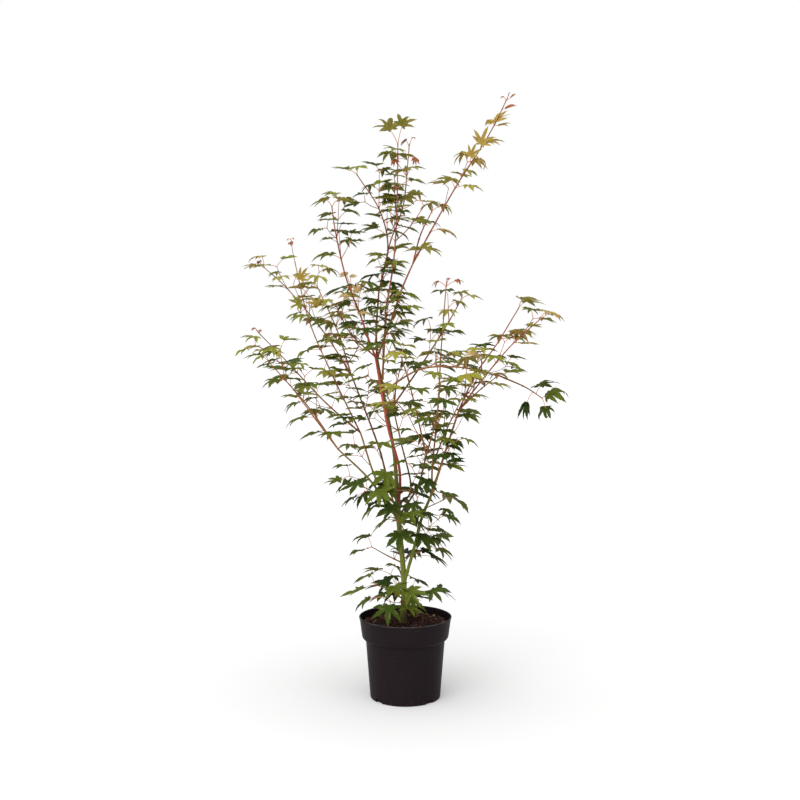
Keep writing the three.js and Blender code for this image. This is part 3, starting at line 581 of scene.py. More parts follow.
def limb_skin(name, stations):
    """A limb: its radius runs straight from station to station, and is multiplied by a
    ring at each old bud pair, a swollen collar where it leaves its parent, and ripples."""
    line = Line(stations)
    shares = np.linspace(0, 1, int(line.length / LIMB_STEP) + 1)
    distance = shares * line.length
    radius = np.interp(line.mark(shares), np.linspace(0, 1, len(stations)), [s[3] for s in stations])
    if name == "trunk":
        height = line.place(shares)[:, 2] - SOIL_TOP
        radius = radius + FLARE_RADIUS * np.exp(-np.maximum(height, 0) / FLARE_HEIGHT)
    else:
        radius = radius * (1 + COLLAR_SWELLING * np.exp(-distance / COLLAR_REACH))
    shift = sum(map(ord, name)) % RING_SHIFTS / RING_SHIFTS
    from_node = (distance / NODE_SPACING + shift + 0.5) % 1 - 0.5
    ring = NODE_SWELLING * np.exp(-((from_node * NODE_SPACING / NODE_WIDTH) ** 2))
    groove = GROOVE_DEPTH * np.exp(-(((from_node * NODE_SPACING - GROOVE_AFTER) / GROOVE_WIDTH) ** 2))
    turn = 2 * np.pi * np.arange(LIMB_SIDES) / LIMB_SIDES
    across, over = BARK_ROUND * np.cos(turn)[None], BARK_ROUND * np.sin(turn)[None]
    around = np.stack(np.broadcast_arrays(across, over, distance[:, None] * BARK_ALONG), -1)
    relief = BARK_RELIEF * ripple(around, BARK_WAVE, len(name) * 3 + 1)
    radii = radius[:, None] * (1 + (ring - groove)[:, None] + relief)
    return tube(line, shares, radii)


def bark_finish(name, low, high, heights, patch):
    """Smooth young bark: its colour changes up the limb, with long weathered patches,
    fine lengthwise streaks and small pale breathing pores, and compost splashed up the
    trunk's foot."""
    bark = Finish(name, {"Specular IOR Level": 0.12})
    at = bark.places()
    straight = bark.node("ShaderNodeAttribute", {"attribute_name": "straight"}, {}, "Vector")
    age = bark.range(bark.part(at, "Z"), *heights)
    blotch = bark.noise(bark.stretch(straight, (150, 150, 32)), 1.0, 4, 0.6)
    streak = bark.noise(bark.stretch(straight, (900, 900, 60)), 1.0, 3, 0.6)
    pore = bark.node("ShaderNodeTexVoronoi", {}, {
        "Vector": bark.stretch(straight, (420, 420, 190)), "Scale": 1.0}, "Distance")
    pores = bark.range(pore, 0.16, 0.08)
    skin = bark.mix(age, low, high)
    weathered = bark.mix(bark.range(blotch, 0.54, 0.70) * 0.75, skin, patch)
    splashed = bark.mix(bark.range(bark.part(at, "Z"), *SPLASH_HEIGHTS) * 0.8, weathered, SPLASH_BROWN)
    streaked = bark.mix(bark.range(streak, 0.5, 0.8) * 0.4, splashed, patch)
    bark.give("Base Color", bark.mix(pores * 0.35, streaked, PORE_TAN))
    bark.give("Roughness", 0.42 + blotch * 0.3)
    bark.give("Normal", bark.bump(streak * 0.6 + pores * 0.8, 0.5, 0.0005))
    return bark


for bark_name, (limb_names, low, high, heights, patch, slot) in BARKS.items():
    bundle = Bundle()
    for limb_name in limb_names:
        bundle.add(*limb_skin(limb_name, LIMBS[limb_name]))
    bark = bark_finish(f"bark_{bark_name}", low, high, heights, patch)
    limb_piece = bundle.make(f"limbs_{bark_name}", bark)
    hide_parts(*limb_names)


# ------------------------------------------------------------- shoots and twigs
# This year's and last year's shoots grow on from the boughs. Buds sit in opposite pairs,
# each pair a quarter turn from the last, and some grow out into short side twigs.

PAIR_TURN = 90
FIRST_PAIR = 0.45
SPACING_SPREAD = 0.12
TWIG_LENGTH = 72
TWIG_LENGTH_SPREAD = 16
TWIG_OPENING = 44
TWIG_LIFT = 0.16
TWIG_PAIRS = (0.5, 1)
TWIG_LEAF_SHARE = 0.86
LEAF_OPENING = 58
LEAF_OPENING_SPREAD = 12
END_PAIR_OPENING = 40
STALK_SHARE = 0.46
STALK_SHARE_SPREAD = 0.1
DROOP_SPREAD = 13
ROLL_SPREAD = 22
SWING_SPREAD = 20
LENGTH_SPREAD = 0.13
OUTWARD_PULL = 0.35
MASS_REACH = 150
STEM_PLACES = 13
LEFT_STEM_PLACES = 9
LOWEST_LEAF = SOIL_TOP + 4

# Finer growth: short spurs beside the leaves, each ending in a pair of smaller leaves,
# with another pair half way along the longer ones.
SPUR_LENGTH = 44
SPUR_LENGTH_SPREAD = 28
LONG_SPUR = 46
SPUR_OPENING = 42
SPUR_OPENING_SPREAD = 14
SPUR_LEAN = 1.2
SPUR_BEND_SHARE = 0.55
SPUR_LIFT = 0.12
SPUR_TURN_SPREAD = 1.5
SPUR_LEAF_SHARE = 0.88
SPUR_LEAF_OPENING = 50
KEPT_SEED = 500

# A shoot that is still growing ends in two pairs of small folded leaves: for each pair
# its share along the bare tip, its turn round it, and its length beside the tip's size.
TIP_PAIRS = ((0.8, 0.6, 1), (1, 2.0, 0.65))
TIP_LIFT = 0.2
TIP_DROOP = 30
TIP_OPENING = 38
TIP_SPREAD = 0.42
TIP_BEND = 2.0

# Skins of stems, twigs and spurs: sides round them, step along them, and radii at foot
# and tip. Each swells where its buds sit.
STEM_SIDES = 8
TWIG_SIDES = 6
STEM_STEP = 3
STEM_RADII = (1.8, 1.0)
TWIG_RADII = (1.1, 0.75)
SPUR_RADII = (0.8, 0.55)
BUD_SWELLING = 0.35
BUD_WIDTH = 2.2
SHOOT_COLOURS = {
    "low": ((0.150, 0.085, 0.022), (0.260, 0.110, 0.034)),
    "mid": ((0.200, 0.085, 0.028), (0.340, 0.130, 0.045)),
    "fresh": ((0.190, 0.045, 0.024), (0.340, 0.095, 0.048)),
    "gold": ((0.170, 0.045, 0.022), (0.290, 0.085, 0.038)),
}

# By tone: how much smaller than the source's the real blades are, and how much of their
# sag and roll they keep, since the upper leaves lie in nearly level layers.
TRUE_LEAF = {"low": 0.78, "mid": 0.82, "fresh": 0.84, "gold": 0.84}
BLADE_EASE = {"low": 0.9, "mid": 0.6, "fresh": 0.7, "gold": 0.8}

# Each mass: its stem's way, the lengths of its first and last leaves, the space between
# pairs of buds, the droop of its leaves, the share of buds that grow into twigs, its
# seed and its tone. Then for the finer growth: the share of leaves that hang on, the
# share of buds with a spur, and its seed. Both seeds and these two shares weren't chosen
# by hand: scratch programs searched for them and wrote them in, as report.md says.
MASSES = {
    "leaves_foot_front": (((-5, 0, 190), (-9, -25, 205), (-1, -48, 212)), (68, 60), 26, 34, 0, 25, "low",
                          0.7, 0.25, 106),
    "leaves_foot_left": (((-5, 0, 203), (-32, -15, 226), (-62, -22, 238)), (72, 62), 30, 30, 0, 118, "low",
                         0.7, 0.25, 140),
    "leaves_foot_right": (((-5, 0, 209), (22, -20, 222), (46, -34, 228)), (68, 60), 26, 32, 0, 2, "low",
                          0.45, 0, 35),
    "leaves_foot_rear": (((-5, 0, 197), (6, 25, 208), (16, 50, 212)), (66, 58), 28, 30, 0, 58, "low",
                         0.7, 0.25, 7),
    "leaves_low_left": (((-9, 0, 280), (-40, 22, 291), (-70, 36, 305)), (64, 58), 34, 12, 0, 53, "low",
                        0.7, 0.25, 120),
    "leaves_low_right": (((-7, 0, 285), (24, 27, 296), (54, 48, 303)), (68, 62), 34, 26, 0, 131, "low",
                         1, 0.25, 98),
    "leaves_low_front": (((-12, 0, 326), (-4, -32, 352), (-12, -60, 374)), (72, 70), 32, 34, 0, 131, "low",
                         0.7, 0, 36),
    "leaves_mid_left": (((-15, 0, 388), (-48, -34, 422), (-84, -50, 443)), (70, 62), 30, 42, 0, 86, "low",
                        0.7, 0.25, 120),
    "leaves_mid_front": (((-13, 0, 358), (-24, -36, 412), (-38, -74, 444)), (72, 64), 34, 44, 0, 90, "low",
                         0.45, 0, 50),
    "leaves_mid_right": (((-13, 0, 362), (31, 36, 381), (78, 56, 400)), (74, 68), 36, 34, 0, 6, "low",
                         0.45, 0.25, 91),
    "leaves_right_inner": (((55, -26, 485), (84, 18, 550), (119, 60, 616)), (61, 53), 46, 22, 0.2, 16,
                           "mid", 0.6, 0.6, 84),
    "leaves_front_left": (((41, -80, 511), (14, -130, 628), (-8, -162, 706)), (59, 50), 54, 18, 0.08, 65,
                          "mid", 0.6, 0, 22),
    "leaves_front_right": (((41, -80, 511), (59, -120, 584), (66, -168, 658)), (59, 52), 52, 22, 0.15, 12,
                           "mid", 0.6, 0, 126),
    "leaves_rear_centre": (((-10, 90, 525), (-24, 138, 600), (-8, 180, 690)), (61, 52), 50, 18, 0.2, 49,
                           "mid", 0.6, 0.6, 35),
    "leaves_left_low_outer": (((-134, -80, 523), (-191, -110, 610), (-262, -138, 696)), (61, 50), 50, 16,
                              0.04, 104, "mid", 1, 0.6, 49),
    "leaves_left_low_inner": (((-134, -80, 523), (-179, -56, 579), (-230, -38, 645)), (59, 50), 48, 16, 0,
                              112, "mid", 0.6, 0, 71),
    "leaves_left_outer": (((-94, 50, 544), (-167, 40, 609), (-249, 12, 700), (-296, -6, 750)), (61, 46), 54,
                          14, 0.1, 42, "mid", 1, 0.3, 112),
    "leaves_left_upper": (((-94, 50, 544), (-153, 88, 660), (-206, 110, 781), (-236, 120, 905)), (59, 48),
                          58, 16, 0.12, 132, "mid", 0.6, 0.6, 28),
    "leaves_rear_left_outer": (((-117, 130, 665), (-180, 165, 758), (-259, 195, 850), (-312, 208, 898)),
                               (59, 46), 54, 14, 0.1, 92, "mid", 0.6, 0.6, 49),
    "leaves_rear_left_upper": (((-117, 130, 665), (-150, 184, 760), (-196, 215, 858)), (57, 48), 52, 16,
                               0.15, 40, "mid", 0.8, 0.3, 113),
    "leaves_left_middle": (((-61, -13, 704), (-112, 16, 751), (-142, 44, 806)), (57, 48), 48, 16, 0.2, 22,
                           "fresh", 0.6, 0.6, 119),
    "leaves_upper_left": (((-89, -45, 785), (-117, -80, 861), (-135, -105, 942), (-142, -120, 995)),
                          (57, 46), 50, 18, 0, 23, "fresh", 0.6, 0.25, 22),
    "leaves_upper_left_centre": (((-55, 45, 838), (-36, 28, 926), (-52, 8, 1001), (-98, -10, 1072)),
                                 (57, 46), 50, 16, 0.14, 151, "fresh", 0.8, 0.3, 22),
    "leaves_upper_rear": (((-55, 45, 838), (-30, 72, 947), (-4, 84, 1021), (8, 84, 1140)), (57, 46), 56, 16,
                          0.08, 41, "fresh", 0.6, 0.5, 22),
    "leaves_top_centre": (((-40, -10, 799), (-24, -14, 897), (-17, 4, 1014), (-15, 14, 1178)), (59, 52), 56,
                          14, 0.14, 17, "fresh", 0.8, 0, 92),
    "leaves_upper_right": (((15, -60, 891), (30, -26, 949), (54, -2, 1000)), (55, 46), 44, 16, 0.1, 146,
                           "fresh", 0.8, 0.25, 148),
    "leaves_top_right": (((15, -60, 891), (94, -100, 1030), (157, -125, 1127), (190, -140, 1192)), (54, 38),
                         48, 16, 0, 97, "gold", 0.6, 0.6, 49),
    "leaves_right_upright": (((55, -26, 485), (66, -35, 608), (71, -40, 709), (81, -45, 845)), (59, 44), 50,
                             18, 0.1, 124, "mid", 0.6, 0, 120),
    "leaves_right_low": (((105, -90, 601), (142, -80, 636), (180, -56, 664)), (61, 52), 42, 20, 0.1, 126,
                         "mid", 0.6, 0, 35),
    "leaves_right_outer": (((105, -90, 601), (136, -106, 671), (176, -130, 732), (215, -152, 800)),
                           (61, 50), 48, 18, 0.12, 130, "fresh", 0.6, 0, 35),
    "leaves_right_far": (((105, -90, 601), (148, -126, 662), (200, -156, 728), (252, -180, 778)), (56, 44),
                         54, 16, 0.08, 35, "fresh", 1, 0.6, 49),
    "leaves_rear_right": (((65, 90, 732), (96, 124, 781), (122, 146, 826)), (59, 48), 44, 16, 0.15, 17,
                          "mid", 0.8, 0.3, 85),
    "leaves_arching_tip": (((186, -90, 668), (236, -86, 646), (270, -80, 624)), (62, 58), 34, 50, 0, 6,
                           "low", 0, 0, 43),
}
# Where the values that are read on their own stand in a mass's row.
DROOP, TONE, KEPT_SHARE, SPUR_SHARE, SPUR_SEED = 3, 6, 7, 8, 9

# Boughs carry spurs of their own too. For each: where along it they start, the length of
# their leaves, the share of buds with a spur, the seed, and the mass that they join.
# The shares and seeds come from the same searches.
BOUGH_SPURS = {
    "trunk": (0.60, 56, 0.25, 21, "leaves_front_left"),
    "right_stem": (0.55, 62, 0.6, 7, "leaves_mid_right"),
    "red_leader": (0.25, 56, 0, 7, "leaves_left_middle"),
    "bough_left_low": (0.35, 58, 0.2, 14, "leaves_left_low_inner"),
    "bough_left": (0.35, 58, 0.25, 134, "leaves_left_outer"),
    "bough_left_rear": (0.30, 56, 0.25, 57, "leaves_rear_left_upper"),
    "bough_rear": (0.40, 58, 0.25, 106, "leaves_rear_centre"),
    "bough_front": (0.40, 58, 0.4, 56, "leaves_front_right"),
    "bough_rear_right": (0.25, 56, 0.2, 43, "leaves_rear_right"),
    "bough_arching": (0.15, 54, 0.55, 57, "leaves_right_low"),
    "bough_centre": (0.20, 54, 0.55, 85, "leaves_top_centre"),
    "bough_upper_left": (0.20, 52, 0.6, 15, "leaves_upper_left"),
    "bough_upper_rear": (0.20, 52, 0.5, 70, "leaves_upper_rear"),
    "bough_right_leader": (0.30, 52, 0.2, 120, "leaves_upper_right"),
    "bough_right": (0.25, 58, 0.5, 106, "leaves_right_low"),
    "bough_right_upright": (0.20, 58, 0.5, 50, "leaves_right_inner"),
}
BOUGH_BUD_SPACING = 40
BOUGH_FIRST_TURN = 35
BOUGH_LEAF_SHARE = 0.1

# Shoots that are still growing: for each the stretch of bare tip past its last leaves,
# and the length of the new leaves there, 0 where those stand in their own way below.
GROWING_TIPS = {
    "leaves_top_right": (14, 0), "leaves_upper_rear": (8, 0), "leaves_rear_left_outer": (14, 13),
    "leaves_left_upper": (40, 16), "leaves_left_outer": (14, 0), "leaves_right_upright": (10, 0),
}

# Leaves that stand in their own way: a raised V at the top, soft new leaves that hang
# like claws, a gold tip of long narrow leaves, a few cream ones, and curled old ones on
# the bough that arches furthest out. For each mass: the share of its stem that is left,
# the share of it past which its usual leaves give way, then for each leaf the share of
# the stem where its stalk starts, its heart, which way it heads round the vertical, how
# far it dips and rolls in degrees, its length, how far its lobes spread and bend, and
# its tint.
OWN_LEAVES = {
    "leaves_top_centre": (0.89, 0.89, (
        (1, (-31, 0, 1163), 218, -28, 10, 49, 1.0, 1.15, "lime"),
        (1, (-7, 0, 1171), -50, -40, -12, 47, 0.92, 1.1, "lime"))),
    "leaves_upper_rear": (1, 1, (
        (0.92, (-21, 56, 1112), 262, 62, 0, 22, 0.60, 0.8, "bronze"),
        (0.94, (19, 60, 1116), 290, 64, 0, 23, 0.58, 0.9, "bronze"),
        (1, (3, 80, 1156), 200, 8, 24, 25, 0.55, 1.3, "bronze"),
        (1, (13, 80, 1160), -30, 0, 20, 14, 0.55, 1.3, "bronze"))),
    "leaves_top_right": (1, 0.55, (
        (1, (186, -141, 1199), 180, -10, -30, 11, 0.5, 1.3, "bronze"),
        (1, (198, -139, 1197), -10, -35, 35, 15, 0.3, 0.9, "bronze"),
        (0.95, (188, -138, 1177), -8, -12, 40, 27, 0.32, 0.6, "bronze"),
        (0.86, (166, -134, 1152), 160, -50, -40, 33, 0.75, 2.6, "gold"),
        (0.86, (170, -132, 1154), 15, -40, 40, 40, 0.42, 0.5, "gold"),
        (0.86, (176, -128, 1147), -5, 3, 20, 28, 0.40, 0.7, "gold"),
        (0.72, (144, -130, 1114), 0, -66, 76, 35, 0.98, 0.5, "gold"),
        (0.72, (154, -124, 1116), -5, -6, 25, 42, 0.70, 0.8, "gold"),
        (0.62, (125, -124, 1091), 0, -66, 66, 32, 0.95, 0.7, "gold"),
        (0.62, (135, -118, 1086), -10, 8, 20, 38, 0.80, 1.6, "gold"))),
    "leaves_upper_left": (1, 1.1, (
        (0.10, (-96, -66, 832), 60, -50, 0, 30, 0.9, 0.6, "cream"),
        (0.05, (-114, -60, 824), 182, -5, -20, 30, 0.8, 1.2, "cream"),
        (0, (-95, -52, 793), 5, -8, 25, 32, 0.6, 1.0, "cream"),
        (0.22, (-115, -76, 867), 150, -20, -40, 28, 0.5, 0.8, "cream"),
        (0.22, (-110, -70, 863), 10, -20, 30, 20, 0.5, 0.8, "cream"))),
    "leaves_right_outer": (1, 1.1, (
        (0.45, (140, -100, 709), 200, -10, -30, 34, 1.0, 1.2, "cream"),)),
    "leaves_left_upper": (1, 1, (
        (0.90, (-222, 108, 868), 0, -66, 74, 32, 0.95, 0.6, "gold"),
        (0.80, (-223, 96, 815), 180, -12, -68, 30, 0.9, 0.5, "lime"))),
    "leaves_left_middle": (1, 1.1, (
        (0.96, (-181, 44, 809), 150, -50, -44, 34, 0.9, 0.8, "gold"),)),
    "leaves_left_outer": (1, 0.93, (
        (1, (-306, -6, 763), 200, 10, -20, 14, 0.5, 1.8, "bronze"),
        (1, (-298, -6, 759), -40, 10, 20, 12, 0.5, 1.8, "bronze"))),
    "leaves_right_upright": (1, 1, (
        (1, (67, -46, 856), 190, 10, -20, 24, 0.5, 1.6, "bronze"),
        (1, (99, -44, 857), -20, 15, 20, 26, 0.55, 1.6, "bronze"),
        (1, (87, -45, 862), 250, 0, 0, 14, 0.5, 1.3, "bronze"))),
    "leaves_arching_tip": (1, 1, (
        (0.84, (267, -84, 650), -62, -30, 0, 50, 1.05, 0.9, "dark"),
        (0.76, (239, -88, 617), 225, 55, -10, 44, 0.42, 0.9, "deep"),
        (1, (281, -80, 630), -25, -30, 34, 68, 0.85, 2.6, "green"),
        (1, (277, -82, 605), 252, 40, 10, 48, 0.85, 2.6, "dark"))),
}


UP = np.array([0.0, 0, 1])


class Draw:
    """Seeded even draws: a counter is stepped, then its bits are shifted and multiplied
    twice over 32 bits, and the result is a share of their range."""

    def __init__(self, seed):
        self.state = seed
        self.share()

    def share(self):
        self.state = (self.state + 0x6D2B79F5) & 0xFFFFFFFF
        bits = self.state
        bits = ((bits ^ bits >> 15) * (bits | 1)) & 0xFFFFFFFF
        bits ^= (bits + (((bits ^ bits >> 7) * (bits | 61)) & 0xFFFFFFFF)) & 0xFFFFFFFF
        return (bits ^ bits >> 14) / 4294967296

    def spread(self, amount):
        return amount * (2 * self.share() - 1)


def turned(vector, axis, angle):
    """A vector turned about an axis of length one."""
    return (vector * math.cos(angle) + np.cross(axis, vector) * math.sin(angle)
            + axis * (axis @ vector) * (1 - math.cos(angle)))


def leaf_place(draw, root, along, side, size, droop, opening):
    """Where one leaf sits: its stalk leaves the bud between the stem's direction and the
    bud's side, and its blade heads outwards, nearly level, drooping to its tip."""
    opened = math.radians(opening + draw.spread(LEAF_OPENING_SPREAD))
    stalk = size * (STALK_SHARE + draw.spread(STALK_SHARE_SPREAD))
    sag = math.radians(droop + draw.spread(DROOP_SPREAD))
    roll = math.radians(draw.spread(ROLL_SPREAD))
    swing = math.radians(draw.spread(SWING_SPREAD))
    length = size * (1 + draw.spread(LENGTH_SPREAD))
    way = along * math.cos(opened) + side * math.sin(opened)
    heading = unit((way + OUTWARD_PULL * along) * (1, 1, 0))
    leaf = {"root": root, "heart": root + way * stalk, "heading": turned(heading, UP, swing),
            "sag": sag, "roll": roll, "length": length}
    return held(leaf, 1)


def held(leaf, share):
    """The leaf with its blade sagging and rolled to one side by a share of its angles."""
    sag, roll, heading = leaf["sag"] * share, leaf["roll"] * share, leaf["heading"]
    forward = heading * math.cos(sag) - UP * math.sin(sag)
    return {**leaf, "forward": forward, "left": turned(np.cross(UP, heading), forward, roll)}


def bud_side(frame_here, turn):
    """Direction of a bud round its stem."""
    _, _, across, over = frame_here
    return across * math.cos(turn) + over * math.sin(turn)


def leaf_pair(draw, frame_here, turn, size, droop, opening):
    """The two opposite leaves of one pair of buds."""
    place, along, _, _ = frame_here
    return [leaf_place(draw, place, along, bud_side(frame_here, turn + half), size, droop, opening)
            for half in (0, math.pi)]


def twig_place(draw, frame_here, side, size, droop):
    """A side twig: a short line that lifts a little, with a pair of leaves part way and
    another at its end."""
    place, along, _, _ = frame_here
    length = TWIG_LENGTH + draw.spread(TWIG_LENGTH_SPREAD)
    opened = math.radians(TWIG_OPENING)
    way = along * math.cos(opened) + side * math.sin(opened)
    line = Line([place, place + way * length / 2, place + way * length + UP * TWIG_LIFT * length])
    leaves = [leaf_pair(draw, line.frame(share), math.radians(PAIR_TURN * index), size * TWIG_LEAF_SHARE,
                        droop, LEAF_OPENING) for index, share in enumerate(TWIG_PAIRS)]
    return {"line": line, "leaves": leaves[0] + leaves[1]}


def growth(mass, line):
    """All that grows on a stem, by the pairs of its buds: leaves, and twigs with theirs."""
    _, sizes, spacing, droop, twig_share, seed, *_ = mass
    draw = Draw(seed)
    pairs = max(1, int(line.length / spacing - FIRST_PAIR))
    leaves, twigs, buds = [], [], []
    for pair in range(pairs):
        share = min(spacing * (pair + FIRST_PAIR + draw.spread(SPACING_SPREAD)) / line.length, 1)
        frame_here = line.frame(share)
        size = sizes[0] + (sizes[1] - sizes[0]) * share
        turn = math.radians(PAIR_TURN * pair + draw.spread(SWING_SPREAD))
        for half in (0, math.pi):
            side = bud_side(frame_here, turn + half)
            if draw.share() < twig_share:
                twigs.append(twig_place(draw, frame_here, side, size, droop))
                twigs[-1]["share"] = share
            else:
                leaves.append(leaf_place(draw, *frame_here[:2], side, size, droop, LEAF_OPENING))
                leaves[-1]["share"] = share
            buds.append((share, frame_here, side, size))
    for leaf in leaf_pair(draw, line.frame(1), math.radians(PAIR_TURN * pairs), sizes[1], droop,
                          END_PAIR_OPENING):
        leaves.append({**leaf, "share": 1})
    return leaves, twigs, buds


def spurs_of(buds, droop, spur_share, seed):
    """The finer growth: spurs beside the leaves of a stem, leaning off to either side."""
    draw = Draw(seed)
    spurs = []
    for share, frame_here, side, size in buds:
        if draw.share() >= spur_share:
            continue
        place, along, _, _ = frame_here
        length = SPUR_LENGTH + draw.spread(SPUR_LENGTH_SPREAD)
        opened = math.radians(SPUR_OPENING + draw.spread(SPUR_OPENING_SPREAD))
        leant = turned(side, along, draw.spread(SPUR_LEAN))
        way = along * math.cos(opened) + leant * math.sin(opened)
        end = place + way * length + UP * SPUR_LIFT * length
        line = Line([place, place + way * length * SPUR_BEND_SHARE, end])
        turn = draw.spread(SPUR_TURN_SPREAD)
        pairs = [(0.5, turn + math.pi / 2), (1, turn)] if length > LONG_SPUR else [(1, turn)]
        leaves = [leaf for at, pair_turn in pairs for leaf in leaf_pair(
            draw, line.frame(at), pair_turn, size * SPUR_LEAF_SHARE, droop, SPUR_LEAF_OPENING)]
        spurs.append({"line": line, "leaves": leaves, "share": share, "nodes": [at for at, _ in pairs]})
    return spurs


def hanging(leaves, share, seed):
    """The leaves that have not dropped yet: each is kept by one seeded draw, and the pair
    at the stem's end always stays."""
    draw = Draw(seed + KEPT_SEED)
    return [leaf for leaf in leaves if draw.share() < share or leaf["share"] == 1]


def bough_buds(line, start, size):
    """Pairs of buds along a bough past its start, each pair a quarter turn on."""
    buds = []
    for pair in range(int(line.length * (1 - start) / BOUGH_BUD_SPACING) + 1):
        share = start + pair * BOUGH_BUD_SPACING / line.length
        frame_here = line.frame(min(share, 1))
        turn = math.radians(PAIR_TURN * pair + BOUGH_FIRST_TURN)
        buds += [(share, frame_here, bud_side(frame_here, turn + half), size) for half in (0, math.pi)]
    return buds


def is_inside(leaf, stem_places):
    """Whether a leaf keeps inside its mass's sleeve and above the compost."""
    tip = leaf["heart"] + leaf["forward"] * leaf["length"]
    near = min(np.linalg.norm(stem_places - tip, axis=1)) < MASS_REACH
    return near and min(tip[2], leaf["heart"][2]) > LOWEST_LEAF


def shoot_skin(line, radii, nodes, sides):
    """A shoot: it tapers evenly, swells at each pair of buds and ends in a small bud."""
    shares = np.linspace(0, 1, max(4, int(line.length / STEM_STEP) + 1))
    radius = radii[0] + (radii[1] - radii[0]) * shares
    apart = (shares[:, None] - np.asarray(nodes, float)[None]) * line.length
    radius = radius * (1 + BUD_SWELLING * np.exp(-((apart / BUD_WIDTH) ** 2)).sum(1))
    return tube(line, shares, np.repeat(radius[:, None], sides, 1))


def foliage(mass):
    """A mass: its stem, the twigs and spurs that still carry leaves, and all its leaves."""
    stem = Line(mass[0])
    stem_places = stem.place(np.linspace(0, 1, STEM_PLACES))
    leaves, twigs, buds = growth(mass, stem)
    spurs = spurs_of(buds, mass[DROOP], mass[SPUR_SHARE], mass[SPUR_SEED])
    for number, twig in enumerate(twigs + spurs):
        for leaf in twig["leaves"]:
            leaf["share"], leaf["twig"] = twig["share"], number
    every = leaves + [leaf for twig in twigs + spurs for leaf in twig["leaves"]]
    inside = [leaf for leaf in every if is_inside(leaf, stem_places)]
    kept = hanging(inside, mass[KEPT_SHARE], mass[SPUR_SEED])
    carrying = {leaf.get("twig") for leaf in kept}
    return {"stem": stem, "leaves": kept, "nodes": sorted({bud[0] for bud in buds}) + [1],
            "twigs": [twig for number, twig in enumerate(twigs) if number in carrying],
            "spurs": [spur for number, spur in enumerate(spurs, len(twigs)) if number in carrying]}


def growing_tip(stem, stretch, size):
    """A bare tip carried straight on from a stem's end. Its leaves, where it has any of
    its own, are still opening: their lobes are close together and curled down."""
    draw = Draw(int(stretch * size))
    end, along, _, _ = stem.frame(1.0)
    line = Line([end, end + along * stretch / 2, end + (along + TIP_LIFT * UP) * stretch])
    opening = {"share": 1, "tint": "bronze", "spread_out": TIP_SPREAD, "bend": TIP_BEND}
    leaves = []
    for share, turn, length_share in TIP_PAIRS if size else ():
        length = length_share * size
        leaves += [{**leaf, **opening, "length": length} for leaf in leaf_pair(
            draw, line.frame(share), turn, length, TIP_DROOP, TIP_OPENING)]
    return {"line": line, "leaves": leaves, "share": 1, "nodes": [share for share, _, _ in TIP_PAIRS]}


grown = {mass_name: foliage(mass) for mass_name, mass in MASSES.items()}

for mass_name, (left_of_stem, usual, own) in OWN_LEAVES.items():
    mass_grown = grown[mass_name]
    stem = Line(mass_grown["stem"].place(np.linspace(0, left_of_stem, LEFT_STEM_PLACES)))
    kept = [leaf for leaf in mass_grown["leaves"] if leaf["share"] < usual]
    mass_grown.update({"stem": stem, "leaves": kept, "nodes": [
        node / left_of_stem for node in mass_grown["nodes"] if node < left_of_stem] + [1]})
    for kind in ("twigs", "spurs"):
        mass_grown[kind] = [twig for twig in mass_grown[kind] if twig["share"] < usual]
    for start, heart, way_round, dip, roll, length, spread_out, bend, tint in own:
        way_round = math.radians(way_round)
        leaf = {"root": stem.place(start), "heart": np.array(heart, float),
                "heading": np.array([math.cos(way_round), math.sin(way_round), 0]),
                "sag": math.radians(dip), "roll": math.radians(roll), "length": length, "share": 1,
                "spread_out": spread_out, "bend": bend, "tint": tint, "own": True}
        kept.append(held(leaf, 1))

for mass_name, (stretch, size) in GROWING_TIPS.items():
    tip = growing_tip(grown[mass_name]["stem"], stretch, size)
    grown[mass_name]["spurs"].append(tip)
    grown[mass_name]["leaves"] += tip["leaves"]

for bough_name, (start, size, share, seed, mass_name) in BOUGH_SPURS.items():
    bough = Line(LIMBS[bough_name])
    spurs = spurs_of(bough_buds(bough, start, size), MASSES[mass_name][DROOP], share, seed)
    for spur in spurs:
        for leaf in spur["leaves"]:
            leaf["share"] = BOUGH_LEAF_SHARE
        grown[mass_name]["leaves"] += spur["leaves"]
    grown[mass_name]["spurs"] += spurs

for tone, (dark, pale) in SHOOT_COLOURS.items():
    bundle = Bundle()
    names = [name for name, mass in MASSES.items() if mass[TONE] == tone]
    for name in names:
        bundle.add(*shoot_skin(grown[name]["stem"], STEM_RADII, grown[name]["nodes"], STEM_SIDES))
        for twig in grown[name]["twigs"]:
            bundle.add(*shoot_skin(twig["line"], TWIG_RADII, TWIG_PAIRS, TWIG_SIDES))
        for spur in grown[name]["spurs"]:
            bundle.add(*shoot_skin(spur["line"], SPUR_RADII, spur["nodes"], TWIG_SIDES))
    shoot = Finish(f"shoot_{tone}", {"Roughness": 0.5, "Specular IOR Level": 0.12})
    straight = shoot.node("ShaderNodeAttribute", {"attribute_name": "straight"}, {}, "Vector")
    streak = shoot.noise(shoot.stretch(straight, (300, 300, 45)), 1.0, 3)
    shoot.give("Base Color", shoot.mix(shoot.range(streak, 0.35, 0.65), dark, pale))
    shoot.give("Normal", shoot.bump(streak, 0.3, 0.0004))
    shoots = bundle.make(f"shoots_{tone}", shoot)
    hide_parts(*names)


# ---------------------------------------------------------------------- leaves
# Each leaf is a thin blade of seven pointed, toothed lobes spread like a hand, folded
# along their ribs and arching down, on a pink stalk. Old low leaves are deep green, the
# young outer ones yellow-green, gold or bronze.

LOBES = ((-122, 0.34), (-82, 0.66), (-41, 0.91), (0, 1.0), (41, 0.91), (82, 0.66), (122, 0.34))
